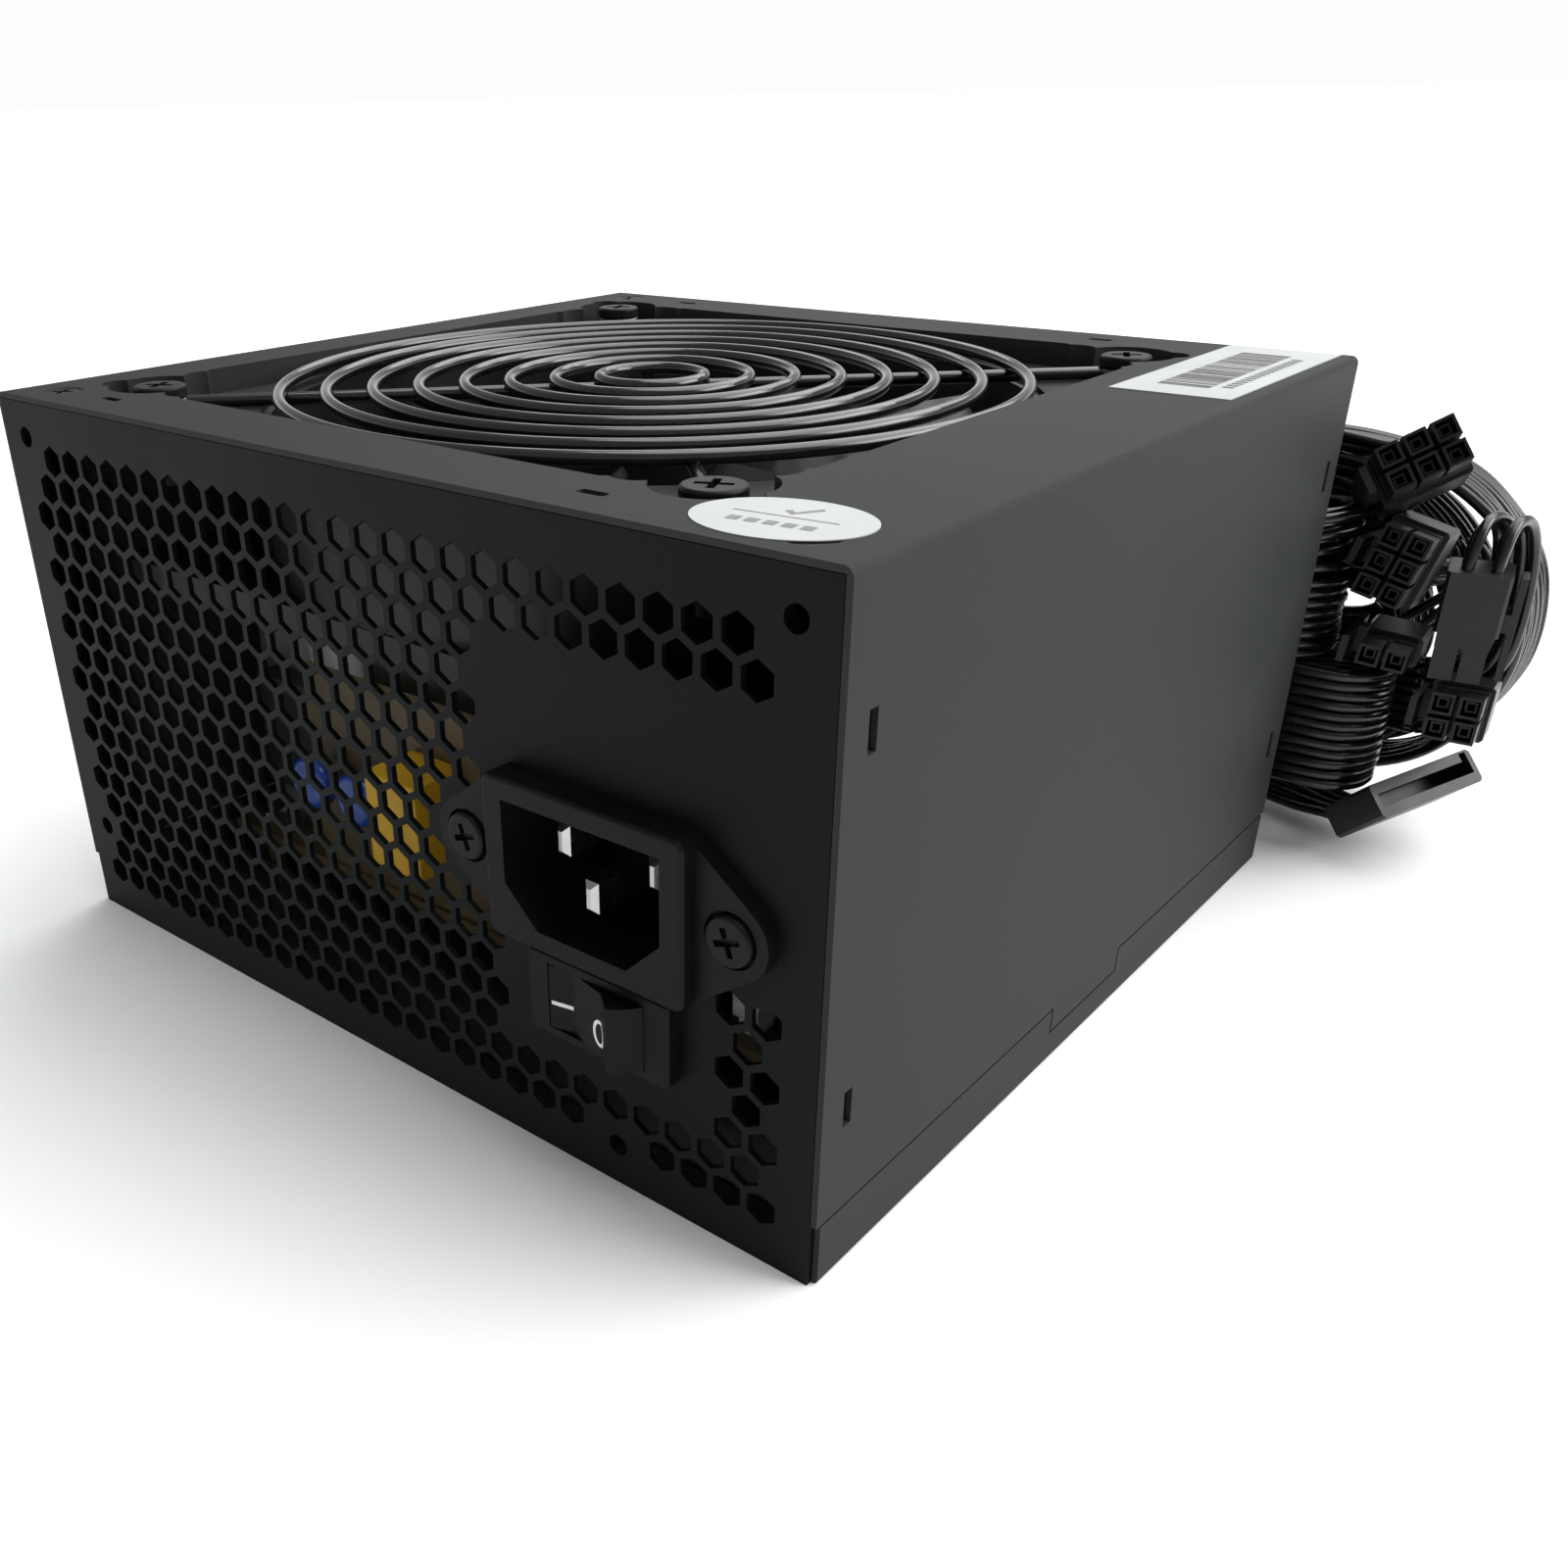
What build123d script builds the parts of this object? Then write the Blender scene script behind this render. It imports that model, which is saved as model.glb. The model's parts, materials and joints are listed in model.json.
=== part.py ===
from build123d import *
import math
import os

# ATX power supply unit, millimetres, +Z up.
# Origin: centre of the case's underside. -Y is the mains side, +Y the cable side, +Z the fan side.

# ---- driving dimensions -------------------------------------------------------------------
WIDTH, DEPTH, HEIGHT = 150.0, 140.0, 86.0
SHEET = 0.8
GAP = 0.1
HALF_W, HALF_D = WIDTH / 2, DEPTH / 2
PANEL_HALF = HALF_W - SHEET - GAP
PANEL_TOP = HEIGHT - SHEET - GAP
RETURN = 8.0
BEND_CORNER = 1.2

# case mounting holes on the mains side: x, z
CASE_HOLES = [(-69.0, 80.0), (69.0, 80.0), (-69.0, 16.0), (45.0, 6.0)]
CASE_HOLE_R = 1.5
COLLAR_R = 2.6
COLLAR_DEPTH = 2.4

# hexagonal vents on the mains side
HEX_PITCH = 5.0
HEX_FLAT = 4.0
HEX_ROW = HEX_PITCH * math.sqrt(3) / 2
HEX_TOP_Z = 77.2
HEX_LEFT_X = -67.8
HEX_ROWS = [
    [(1, 26)], [(0, 26)], [(0, 18)], [(0, 17)], [(0, 18)], [(0, 17)], [(0, 18)], [(0, 16)],
    [(0, 16)], [(0, 16)], [(0, 18), (26, 27)], [(0, 18), (26, 26)], [(0, 18), (26, 27)],
    [(0, 18), (26, 26)], [(1, 18), (26, 27)], [(0, 26)], [(0, 21), (24, 27)],
]

# cover
SEAM_Z = 9.1
TAB_Z = 5.2
TAB_Y = (-11.0, 10.0)
SIDE_SLOT = (1.6, 4.8)
SIDE_SLOT_Y = (-65.0, 65.5)
SIDE_SLOT_Z = (23.5, 68.7)
TOP_SLOT = (4.0, 1.5)
TOP_SLOTS = [(-54.5, -63.6), (38.0, -63.6), (-51.0, 64.0), (36.0, 64.0)]
COVER_SCREWS = [(sx * 66.6, sy * 64.2) for sx in (-1, 1) for sy in (-1, 1)]
COVER_HEAD_R = 2.9
COVER_SHANK_R = 1.45

# fan, centred a little to the left
FAN_X = -6.8
FAN_SIZE, FAN_THICK = 120.0, 25.0
FAN_TOP = 81.5
FAN_BOTTOM = FAN_TOP - FAN_THICK
FAN_HOLE_PITCH = 105.0
FAN_CORNERS = [(sx * FAN_HOLE_PITCH / 2, sy * FAN_HOLE_PITCH / 2) for sx in (-1, 1) for sy in (-1, 1)]
FAN_BORE_R = 58.0
COVER_BORE_R = 59.3
OPENING_HALF = 57.4
OPENING_CORNER_R = 70.0
HUB_R, HUB_TOP, HUB_HEIGHT = 21.0, 78.5, 16.0
BLADE_TIP_R = 56.0
BLADES = 9
BLADE_PITCH_DEG = 36.0
SHAFT_R = 1.5
BEARING_R = 4.0

# guard
RINGS, RING_MAX_R, RING_MIN_R = 8, 56.2, 8.0
WIRE_R = 0.95
RING_Z = 84.85
SPOKE_Z = 83.35

# mains inlet and switch
INLET_X, INLET_Z = 43.5, 44.0
INLET_SCREWS = 40.0
INLET_FRONT, INLET_BACK = -74.0, -56.0
INLET_BLOCK = (30.2, 21.4)
INLET_MOUTH = (23.8, 15.9)
INLET_EAR_R, INLET_FLANGE, INLET_SEAT, INLET_SEAT_R = 5.0, 2.0, 0.9, 3.5
SWITCH_X, SWITCH_Z = 44.1, 26.4
SWITCH_BEZEL = (22.2, 12.0)
SWITCH_BEZEL_THICK = 2.5
SWITCH_HALF_W, SWITCH_HALF_H = 9.6, 5.5
SWITCH_PIVOT_Y = -68.0
SWITCH_TILT = -14.0
ROCKER_R, ROCKER_HEIGHT = 8.7, 8.9

# circuit board
BOARD_Z, BOARD_THICK = 8.0, 1.6
BOARD_TOP = BOARD_Z + BOARD_THICK
BOARD = (-66.0, 66.0, -47.0, 62.0)
STANDOFFS = [(-62.0, -42.0), (62.0, -42.0), (-62.0, 57.0), (62.0, 57.0)]

# cables
WIRE_PITCH = 1.8
MAIN_WIRES, POWER_WIRES, DRIVE_WIRES = 12, 8, 5
RIBBON_THICK = 2.0
EXIT_X, EXIT_Z = -42.6, 45.0
LEAD_START_Y, EXIT_Y = 68.0, 72.5
EXIT_STEP = 2.6

# the wide ribbons' winding, behind the cable side
MAIN_LEFT, MAIN_RIGHT, MAIN_UPPER_RIGHT = -20.0, 88.0, 77.0
MAIN_Y, MAIN_DEEP = 85.0, 18.0
MAIN_Z = 13.0

# the other cables' loop, behind that winding
LOOP_LEFT, LOOP_RIGHT = -15.0, 108.0
LOOP_LOW, LOOP_TOP = 2.0, 67.5
LOOP_FRONT, LOOP_BACK = 102.0, 118.0
LOOP_RADIAL = 19.0
TIE_X, TIE_WIDE, TIE_THICK, TIE_GAP = 8.0, 3.6, 1.2, 0.5

# connector housings
SOCKET_PITCH = 4.2
HOUSING, TUBE = 18.0, 8.0


def block(x0, x1, y0, y1, z0, z1):
    """A box between two corners."""
    return Pos((x0 + x1) / 2, (y0 + y1) / 2, (z0 + z1) / 2) * Box(x1 - x0, y1 - y0, z1 - z0)


def rod(x, y, z0, z1, radius):
    """A vertical cylinder."""
    return Pos(x, y, (z0 + z1) / 2) * Cylinder(radius, z1 - z0)


def rod_y(x, z, y0, y1, radius):
    """A cylinder along Y."""
    return Pos(x, (y0 + y1) / 2, z) * Rot(90, 0, 0) * Cylinder(radius, y1 - y0)


def facing_back(x, y, z):
    """Local XY lies on the mains side, local Z points out of the case (-Y)."""
    return Plane(origin=(x, y, z), x_dir=(1, 0, 0), z_dir=(0, -1, 0)).location


def phillips_screw(head_r, head_h, shank_r, length, dome=0.5):
    """A pan head on the local XY plane, its cross recess up and its shank down local -Z."""
    head = Pos(0, 0, head_h / 2) * Cylinder(head_r, head_h)
    head = fillet(head.edges().group_by(Axis.Z)[-1], dome)
    cross = Box(head_r * 1.15, head_r * 0.26, head_h) + Box(head_r * 0.26, head_r * 1.15, head_h)
    shank = Pos(0, 0, -length / 2) * Cylinder(shank_r, length)
    return head - Pos(0, 0, head_h) * cross + shank


# ---- case ---------------------------------------------------------------------------------
def hex_vents():
    """Every vent hexagon, as one set of cutters through the mains panel."""
    hexagon = extrude(RegularPolygon(HEX_FLAT / 2, 6, major_radius=False, rotation=30), SHEET * 4)
    spots = []
    for row, spans in enumerate(HEX_ROWS):
        shift = HEX_PITCH / 2 if row % 2 else 0.0
        for first, last in spans:
            for k in range(first, last + 1):
                spots.append((HEX_LEFT_X + shift + k * HEX_PITCH, HEX_TOP_Z - row * HEX_ROW))
    return [facing_back(x, -HALF_D + SHEET * 2, z) * hexagon for x, z in spots]


def panel(outer_y, inner_y):
    """A flat upright panel with return flanges along its sides and top, just inside the cover."""
    low, high = min(outer_y, inner_y), max(outer_y, inner_y)
    sheet = block(-PANEL_HALF, PANEL_HALF, low, high, 0, PANEL_TOP)
    inward = 1 if inner_y > outer_y else -1
    f0, f1 = sorted((inner_y, inner_y + inward * RETURN))
    for side in (-1, 1):
        x0, x1 = sorted((side * PANEL_HALF, side * (PANEL_HALF - SHEET)))
        sheet += block(x0, x1, f0, f1, SEAM_Z, PANEL_TOP - 2)
        x0, x1 = sorted((side * (PANEL_HALF - 3), side * (PANEL_HALF - 22)))
        sheet += block(x0, x1, f0, f1, PANEL_TOP - SHEET, PANEL_TOP)
    for x, y in COVER_SCREWS:
        if y * outer_y > 0:
            sheet -= rod(x, y, PANEL_TOP - 2 * SHEET, HEIGHT, COVER_SHANK_R + 0.03)
    return sheet


def rear_panel():
    outer, inner = -HALF_D, -HALF_D + SHEET
    sheet = panel(outer, inner)
    for x, z in CASE_HOLES:
        sheet += rod_y(x, z, inner, inner + COLLAR_DEPTH - SHEET, COLLAR_R)
    for x, z in CASE_HOLES:
        sheet -= rod_y(x, z, outer - 1, inner + COLLAR_DEPTH, CASE_HOLE_R)
    inlet_hole = block(INLET_X - 13.6, INLET_X + 13.6, outer - 1, inner + 1, INLET_Z - 10.1, INLET_Z + 10.1)
    half_w, half_h = SWITCH_HALF_W + 0.1, SWITCH_HALF_H + 0.1
    switch_hole = block(SWITCH_X - half_w, SWITCH_X + half_w, outer - 1, inner + 1,
                        SWITCH_Z - half_h, SWITCH_Z + half_h)
    sheet -= [inlet_hole, switch_hole]
    for side in (-1, 1):
        sheet -= rod_y(INLET_X + side * INLET_SCREWS / 2, INLET_Z, outer - 1, inner + 1, 1.53)
    return sheet - hex_vents()


def front_panel():
    outer, inner = HALF_D, HALF_D - SHEET
    sheet = panel(outer, inner)
    exit_hole = extrude(RectangleRounded(18.4, 28.4, 3), SHEET * 4, both=True)
    sheet -= facing_back(EXIT_X, outer, EXIT_Z) * exit_hole
    slot = extrude(SlotOverall(22, 3), SHEET * 4, both=True)
    for row in range(9):
        for column in range(3):
            sheet -= facing_back(2 + column * 26, outer, 22 + row * 6) * slot
    return sheet


def base_tray():
    """The underside with its low side flanges, notched where the cover's tabs come down."""
    y0, y1 = -HALF_D + SHEET + GAP / 2, HALF_D - SHEET - GAP / 2
    tray = block(-HALF_W, HALF_W, y0, y1, 0, SHEET)
    for side in (-1, 1):
        x0, x1 = sorted((side * HALF_W, side * (HALF_W - SHEET)))
        tray += block(x0, x1, y0, y1, 0, SEAM_Z - 0.35)
        tray -= block(x0, x1, TAB_Y[0] - 0.35, TAB_Y[1] + 0.35, TAB_Z - 0.35, SEAM_Z)
    outer_edges = [e for e in tray.edges().filter_by(Axis.Y)
                   if abs(abs(e.center().X) - HALF_W) < 0.01 and e.center().Z < 0.01]
    tray = fillet(outer_edges, BEND_CORNER * 0.6)
    for x, y in STANDOFFS:
        tray -= rod(x, y, -1, 2, 1.5)
    return tray


def fan_opening(grow):
    """Outline of the cover's fan opening: a rounded square with a lobed pocket at each corner."""
    outline = Rectangle(2 * OPENING_HALF, 2 * OPENING_HALF) & Circle(OPENING_CORNER_R)
    for x, y in FAN_CORNERS:
        sx, sy = math.copysign(1, x), math.copysign(1, y)
        outline += Pos(x, y) * Circle(7.4)
        outline += Pos(x + sx * 1.2, y - sy * 9.5) * Circle(3.6)
        outline += Pos(x - sx * 9.5, y + sy * 1.2) * Circle(3.6)
        outline += Pos(x + sx * 6.0, y + sy * 3.0) * Circle(2.6)
    return offset(outline, grow) if grow else outline


def top_cover():
    side_z = SEAM_Z
    cover = block(-HALF_W, HALF_W, -HALF_D, HALF_D, HEIGHT - SHEET, HEIGHT)
    for side in (-1, 1):
        x0, x1 = sorted((side * HALF_W, side * (HALF_W - SHEET)))
        cover += block(x0, x1, -HALF_D, HALF_D, side_z, HEIGHT)
        cover += block(x0, x1, TAB_Y[0], TAB_Y[1], TAB_Z, side_z)
    bends = [e for e in cover.edges().filter_by(Axis.Y)
             if abs(abs(e.center().X) - HALF_W) < 0.01 and e.center().Z > HEIGHT - 0.01]
    cover = fillet(bends, BEND_CORNER)
    here = Pos(FAN_X, 0, 0)
    tray = extrude(here * Pos(0, 0, FAN_TOP) * fan_opening(SHEET), HEIGHT - SHEET - FAN_TOP + 0.01)
    cover += tray
    cover -= extrude(here * Pos(0, 0, FAN_TOP + SHEET) * fan_opening(0), HEIGHT)
    cover -= rod(FAN_X, 0, FAN_TOP - 1, HEIGHT - SHEET, COVER_BORE_R)
    for x, y in FAN_CORNERS:
        cover -= rod(FAN_X + x, y, FAN_TOP - 1, HEIGHT, 2.2)
    slot = extrude(RectangleRounded(TOP_SLOT[0], TOP_SLOT[1], 0.5), SHEET * 4, both=True)
    for x, y in TOP_SLOTS:
        cover -= Pos(x, y, HEIGHT) * slot
    for side in (-1, 1):
        for y in SIDE_SLOT_Y:
            for z in SIDE_SLOT_Z:
                cover -= Pos(side * HALF_W, y, z) * Box(SHEET * 4, SIDE_SLOT[0], SIDE_SLOT[1])
    for x, y in COVER_SCREWS:
        cover -= Pos(x, y, HEIGHT - SHEET / 2) * Cone(2.3, COVER_HEAD_R + 0.08, SHEET)
    return cover


def cover_screws():
    screws = []
    for x, y in COVER_SCREWS:
        head = Pos(x, y, HEIGHT - SHEET / 2 - 0.05) * Cone(2.2, COVER_HEAD_R, SHEET - 0.1)
        cross = Box(3.4, 0.7, 0.8) + Box(0.7, 3.4, 0.8)
        shank = rod(x, y, HEIGHT - SHEET - 5, HEIGHT - SHEET, COVER_SHANK_R)
        screws.append(head + shank - Pos(x, y, HEIGHT - 0.1) * Rot(0, 0, 30) * cross)
    return Compound(screws)


# ---- fan ----------------------------------------------------------------------------------
def fan_frame():
    """Square frame with flanges, a round duct, four struts and the motor seat."""
    half = FAN_SIZE / 2
    mid = (FAN_TOP + FAN_BOTTOM) / 2
    plate = extrude(RectangleRounded(FAN_SIZE, FAN_SIZE, 4), 4.0)
    frame = Pos(FAN_X, 0, FAN_BOTTOM) * plate + Pos(FAN_X, 0, FAN_TOP - 4.0) * plate
    frame += Pos(FAN_X, 0, mid) * Cylinder(half - 0.2, FAN_THICK)
    frame -= Pos(FAN_X, 0, mid) * Cylinder(FAN_BORE_R, FAN_THICK + 2)
    seat_top = FAN_BOTTOM + 3.0
    for k in range(4):
        strut = Pos(FAN_X, 0, FAN_BOTTOM + 1.5) * Rot(0, 0, 20 + 90 * k) * Pos(39, 0, 0) * Box(42, 4, 3)
        frame += strut
    frame += rod(FAN_X, 0, FAN_BOTTOM, seat_top, 22)
    frame += rod(FAN_X, 0, seat_top, seat_top + 9, BEARING_R + 1.5)
    frame -= rod(FAN_X, 0, FAN_BOTTOM + 1, seat_top + 10, BEARING_R)
    for x, y in FAN_CORNERS:
        frame -= rod(FAN_X + x, y, FAN_BOTTOM - 1, FAN_TOP + 1, 2.15)
    return frame


def fan_bearing():
    """Sleeve bearing pressed into the frame's seat."""
    low = FAN_BOTTOM + 2.0
    return rod(FAN_X, 0, low, FAN_BOTTOM + 12.0, BEARING_R) - rod(FAN_X, 0, low - 1, HEIGHT, SHAFT_R + 0.05)


def fan_stator():
    """Laminated core with four wound poles around the bearing seat."""
    low, high = FAN_BOTTOM + 4.0, FAN_BOTTOM + 10.5
    core = rod(FAN_X, 0, low, high, 8)
    for k in range(4):
        pole = Pos(FAN_X, 0, (low + high) / 2) * Rot(0, 0, 90 * k)
        core += pole * Pos(10, 0, 0) * Box(10, 4.5, high - low)
        core += pole * Pos(15.0, 0, 0) * Box(2.0, 14, high - low)
    return core - rod(FAN_X, 0, low - 1, high + 1, BEARING_R + 1.55)


def fan_impeller():
    """Hub cup with curved, pitched blades. It turns about the fan's axis."""
    low = HUB_TOP - HUB_HEIGHT
    hub = rod(FAN_X, 0, low, HUB_TOP, HUB_R)
    hub = fillet(hub.edges().group_by(Axis.Z)[-1], 2.0)
    hub -= rod(FAN_X, 0, low - 1, HUB_TOP - 2.5, HUB_R - 2.5)
    hub += rod(FAN_X, 0, HUB_TOP - 7, HUB_TOP - 2, 4)
    hub -= rod(FAN_X, 0, low, HUB_TOP - 3, SHAFT_R)
    centre_z = low + 8.0
    root = Plane(origin=(HUB_R - 1.2, 0, 0), x_dir=(0, 1, 0), z_dir=(1, 0, 0))
    tip = Plane(origin=(BLADE_TIP_R, 0, 0), x_dir=(0, 1, 0), z_dir=(1, 0, 0))
    section_root = root * Rot(0, 0, BLADE_PITCH_DEG) * Rectangle(17, 1.6)
    section_tip = tip * Pos(9, 0) * Rot(0, 0, BLADE_PITCH_DEG - 10) * Rectangle(31, 1.3)
    blade = loft([section_root, section_tip])
    blade &= Cylinder(BLADE_TIP_R - 0.3, 40)
    blades = [Pos(FAN_X, 0, centre_z) * Rot(0, 0, 360 / BLADES * k) * blade for k in range(BLADES)]
    envelope = rod(FAN_X, 0, FAN_BOTTOM + 4.2, FAN_TOP - 1.5, BLADE_TIP_R)
    return hub + [b & envelope for b in blades]


def fan_shaft():
    return rod(FAN_X, 0, FAN_BOTTOM + 2.4, HUB_TOP - 3, SHAFT_R)


def fan_guard():
    """Concentric rings welded on four spokes that end in eyelets under the fan screws."""
    step = (RING_MAX_R - RING_MIN_R) / (RINGS - 1)
    guard = None
    for k in range(RINGS):
        ring = Pos(FAN_X, 0, RING_Z) * Torus(RING_MIN_R + k * step, WIRE_R)
        guard = ring if guard is None else guard + ring
    diagonal = FAN_HOLE_PITCH / math.sqrt(2)
    start, stop = RING_MIN_R - 1.0, diagonal - 2.9
    for k in range(4):
        turn = Pos(FAN_X, 0, 0) * Rot(0, 0, 45 + 90 * k)
        spoke = turn * Pos((start + stop) / 2, 0, SPOKE_Z) * Rot(0, 90, 0) * Cylinder(WIRE_R, stop - start)
        eye = turn * Pos(diagonal, 0, SPOKE_Z) * Torus(3.2, WIRE_R)
        guard += [spoke, eye]
    return guard


def fan_screws():
    """Coarse-thread screws through the guard's eyelets and the cover into the fan frame."""
    screw = phillips_screw(3.9, 1.6, 2.1, 13.0)
    return Compound([Pos(FAN_X + x, y, SPOKE_Z + WIRE_R + 0.05) * Rot(0, 0, 25) * screw for x, y in FAN_CORNERS])


# ---- mains inlet --------------------------------------------------------------------------
def inlet_outline(width, height, chamfer_size):
    """A rectangle with its two lower corners cut off."""
    half_w, half_h = width / 2, height / 2
    low = -half_h + chamfer_size
    points = [(-half_w, half_h), (half_w, half_h), (half_w, low), (half_w - chamfer_size, -half_h),
              (-half_w + chamfer_size, -half_h), (-half_w, low)]
    return make_face(Polyline(*points, close=True))


def inlet_body():
    """Three-pole mains inlet: shroud, tapered flange with two ears, and the body behind the panel."""
    outer = -HALF_D
    at = facing_back(INLET_X, outer, INLET_Z)
    block_w, block_h = INLET_BLOCK
    shroud = extrude(RectangleRounded(block_w, block_h, 1.4), -INLET_FRONT + outer)
    shroud = fillet(shroud.edges().group_by(Axis.Z)[-1], 0.6)
    ear = Pos(INLET_SCREWS / 2, 0) * Circle(INLET_EAR_R)
    flange = make_hull([*ear.edges(), *(Pos(-INLET_SCREWS / 2, 0) * Circle(INLET_EAR_R)).edges(),
                        *Rectangle(block_w - 1, block_h - 1).edges()])
    body = at * (shroud + extrude(flange, INLET_FLANGE))
    body += block(INLET_X - 13.5, INLET_X + 13.5, outer, INLET_BACK, INLET_Z - 10.0, INLET_Z + 10.0)
    mouth = extrude(inlet_outline(*INLET_MOUTH, 5.0), 40)
    body -= facing_back(INLET_X, INLET_FRONT + 17.0, INLET_Z) * mouth
    for side in (-1, 1):
        screw_x = INLET_X + side * INLET_SCREWS / 2
        body -= rod_y(screw_x, INLET_Z, outer - 5, outer + 1, 1.7)
        body -= rod_y(screw_x, INLET_Z, outer - 5, outer - INLET_SEAT, INLET_SEAT_R)
    for x, z, tip in inlet_pin_places():
        body -= block(x - 1.0, x + 1.0, INLET_FRONT + 16, INLET_BACK + 1, z - 2.0, z + 2.0)
    return body


def inlet_pin_places():
    """X, Z and front end of each blade: line, neutral and the longer earth blade."""
    return [(INLET_X - 7.0, INLET_Z + 2.2, -69.3), (INLET_X + 7.0, INLET_Z + 2.2, -69.3),
            (INLET_X, INLET_Z - 1.8, -72.3)]


def inlet_pins():
    """Three flat blades, with solder tags behind the inlet."""
    pins = []
    for x, z, tip in inlet_pin_places():
        blade = block(x - 1.0, x + 1.0, tip, INLET_BACK, z - 2.0, z + 2.0)
        blade = chamfer(blade.edges().group_by(Axis.Y)[0], 0.7)
        pins.append(blade + block(x - 0.4, x + 0.4, INLET_BACK, INLET_BACK + 7.0, z - 1.6, z + 1.6))
    return Compound(pins)


def inlet_screws():
    screw = phillips_screw(3.1, 1.8, 1.5, 7.0)
    at = [facing_back(INLET_X + side * INLET_SCREWS / 2, -HALF_D - INLET_SEAT, INLET_Z) for side in (-1, 1)]
    return Compound([place * Rot(0, 0, 20) * screw for place in at])


# ---- switch -------------------------------------------------------------------------------
def switch_body():
    """Bezel and housing of the rocker switch, open to the front."""
    outer = -HALF_D
    bezel = extrude(RectangleRounded(*SWITCH_BEZEL, 0.8), SWITCH_BEZEL_THICK)
    bezel = chamfer(bezel.edges().group_by(Axis.Z)[-1], 0.4)
    body = facing_back(SWITCH_X, outer, SWITCH_Z) * bezel
    body += block(SWITCH_X - SWITCH_HALF_W, SWITCH_X + SWITCH_HALF_W, outer, -58.0,
                  SWITCH_Z - SWITCH_HALF_H, SWITCH_Z + SWITCH_HALF_H)
    half_cavity = ROCKER_HEIGHT / 2 + 0.15
    body -= rod(SWITCH_X, SWITCH_PIVOT_Y, SWITCH_Z - half_cavity, SWITCH_Z + half_cavity, ROCKER_R + 0.2)
    body -= rod(SWITCH_X, SWITCH_PIVOT_Y, SWITCH_Z - 5.15, SWITCH_Z + 5.15, 1.03)
    return body


def switch_rocker():
    """Rocker with pivot stubs, its left side pressed in: the unit is on."""
    front = make_face(Polyline((-9.0, -7.6), (-3.0, -4.8), (0, -4.9), (3.0, -4.8), (9.0, -7.6), (9.0, 1.0),
                               (4.0, 4.6), (-4.0, 4.6), (-9.0, 1.0), close=True))
    profile = front & Circle(ROCKER_R)
    rocker = Pos(0, 0, -ROCKER_HEIGHT / 2) * extrude(profile, ROCKER_HEIGHT) + Cylinder(1.0, 10.1)
    return Pos(SWITCH_X, SWITCH_PIVOT_Y, SWITCH_Z) * Rot(0, 0, SWITCH_TILT) * rocker


def switch_tags():
    """Two solder tags behind the switch."""
    return Compound([block(SWITCH_X + s * 4 - 0.4, SWITCH_X + s * 4 + 0.4, -58.0, -51.0, SWITCH_Z - 2, SWITCH_Z + 2)
                     for s in (-1, 1)])


# ---- electronics --------------------------------------------------------------------------
def insulation_sheet():
    sheet = block(-70, 70, -62, 66, SHEET, SHEET + 0.4)
    for x, y in STANDOFFS:
        sheet -= rod(x, y, 0, 3, 3.2)
    return sheet


def main_board():
    board = block(*BOARD, BOARD_Z, BOARD_TOP)
    for x, y in STANDOFFS:
        board -= rod(x, y, BOARD_Z - 1, BOARD_TOP + 1, 1.7)
    return board


def board_standoffs():
    return Compound([rod(x, y, SHEET, BOARD_Z, 2.5) - rod(x, y, 3, BOARD_Z + 1, 1.25)
                     for x, y in STANDOFFS])


def board_screws():
    screw = phillips_screw(2.8, 1.6, 1.25, 5.5)
    return Compound([Pos(x, y, BOARD_TOP) * screw for x, y in STANDOFFS])


def filter_board():
    """Small upright board behind the mains inlet."""
    return block(-42, 26, -46.0, -44.4, BOARD_TOP, 44.0)


def finned_plate(x0, x1, y, top, fins, reach):
    """An upright plate parallel to the mains side with fingers along its top."""
    plate = block(x0, x1, y, y + 3.0, BOARD_TOP, top)
    pitch = (x1 - x0) / fins
    for k in range(fins):
        fin_x = x0 + (k + 0.5) * pitch
        plate += block(fin_x - 1.1, fin_x + 1.1, y + 3.0, y + 3.0 + reach, top - 16, top)
    plate += block(x0, x1, y + 3.0, y + 3.0 + reach, top - 2.0, top)
    return plate


def primary_heatsink():
    return finned_plate(-64, 8, -38.0, 52.0, 9, 9.0)


def secondary_heatsink():
    return finned_plate(-62, 26, 34.0, 50.0, 11, 9.0)


def tab_packages(places, y, width, height):
    """Flat transistor packages standing against a heatsink."""
    return Compound([block(x - width / 2, x + width / 2, y - 4.6, y, BOARD_TOP + 8, BOARD_TOP + 8 + height)
                     + block(x - 2.6, x + 2.6, y - 2.6, y - 1.8, BOARD_TOP, BOARD_TOP + 8) for x in places])


def power_transistors():
    return tab_packages((-52, -34, -14), -38.0, 15.6, 20)


def output_rectifiers():
    return tab_packages((-46, -26, -6, 14), 34.0, 15.6, 20)


def bridge_rectifier():
    body = block(32, 54, -33, -29, BOARD_TOP + 5, BOARD_TOP + 20)
    return body + [block(34.5 + 5 * k, 35.5 + 5 * k, -31.5, -30.5, BOARD_TOP, BOARD_TOP + 5) for k in range(4)]


def can(x, y, radius, height):
    """Electrolytic capacitor with a rolled rim."""
    body = rod(x, y, BOARD_TOP, BOARD_TOP + height, radius)
    body = fillet(body.edges().group_by(Axis.Z)[-1], 0.9)
    groove = Pos(x, y, BOARD_TOP + 3.2) * Torus(radius + 0.25, 0.8)
    return body - groove


def bulk_capacitors():
    return Compound([can(-50, -15.2, 10.4, 38), can(-26, -15.2, 10.4, 38)])


def output_capacitors():
    return Compound([can(-26 + 11 * k, 52, 5.0, 24) for k in range(5)])


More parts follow.
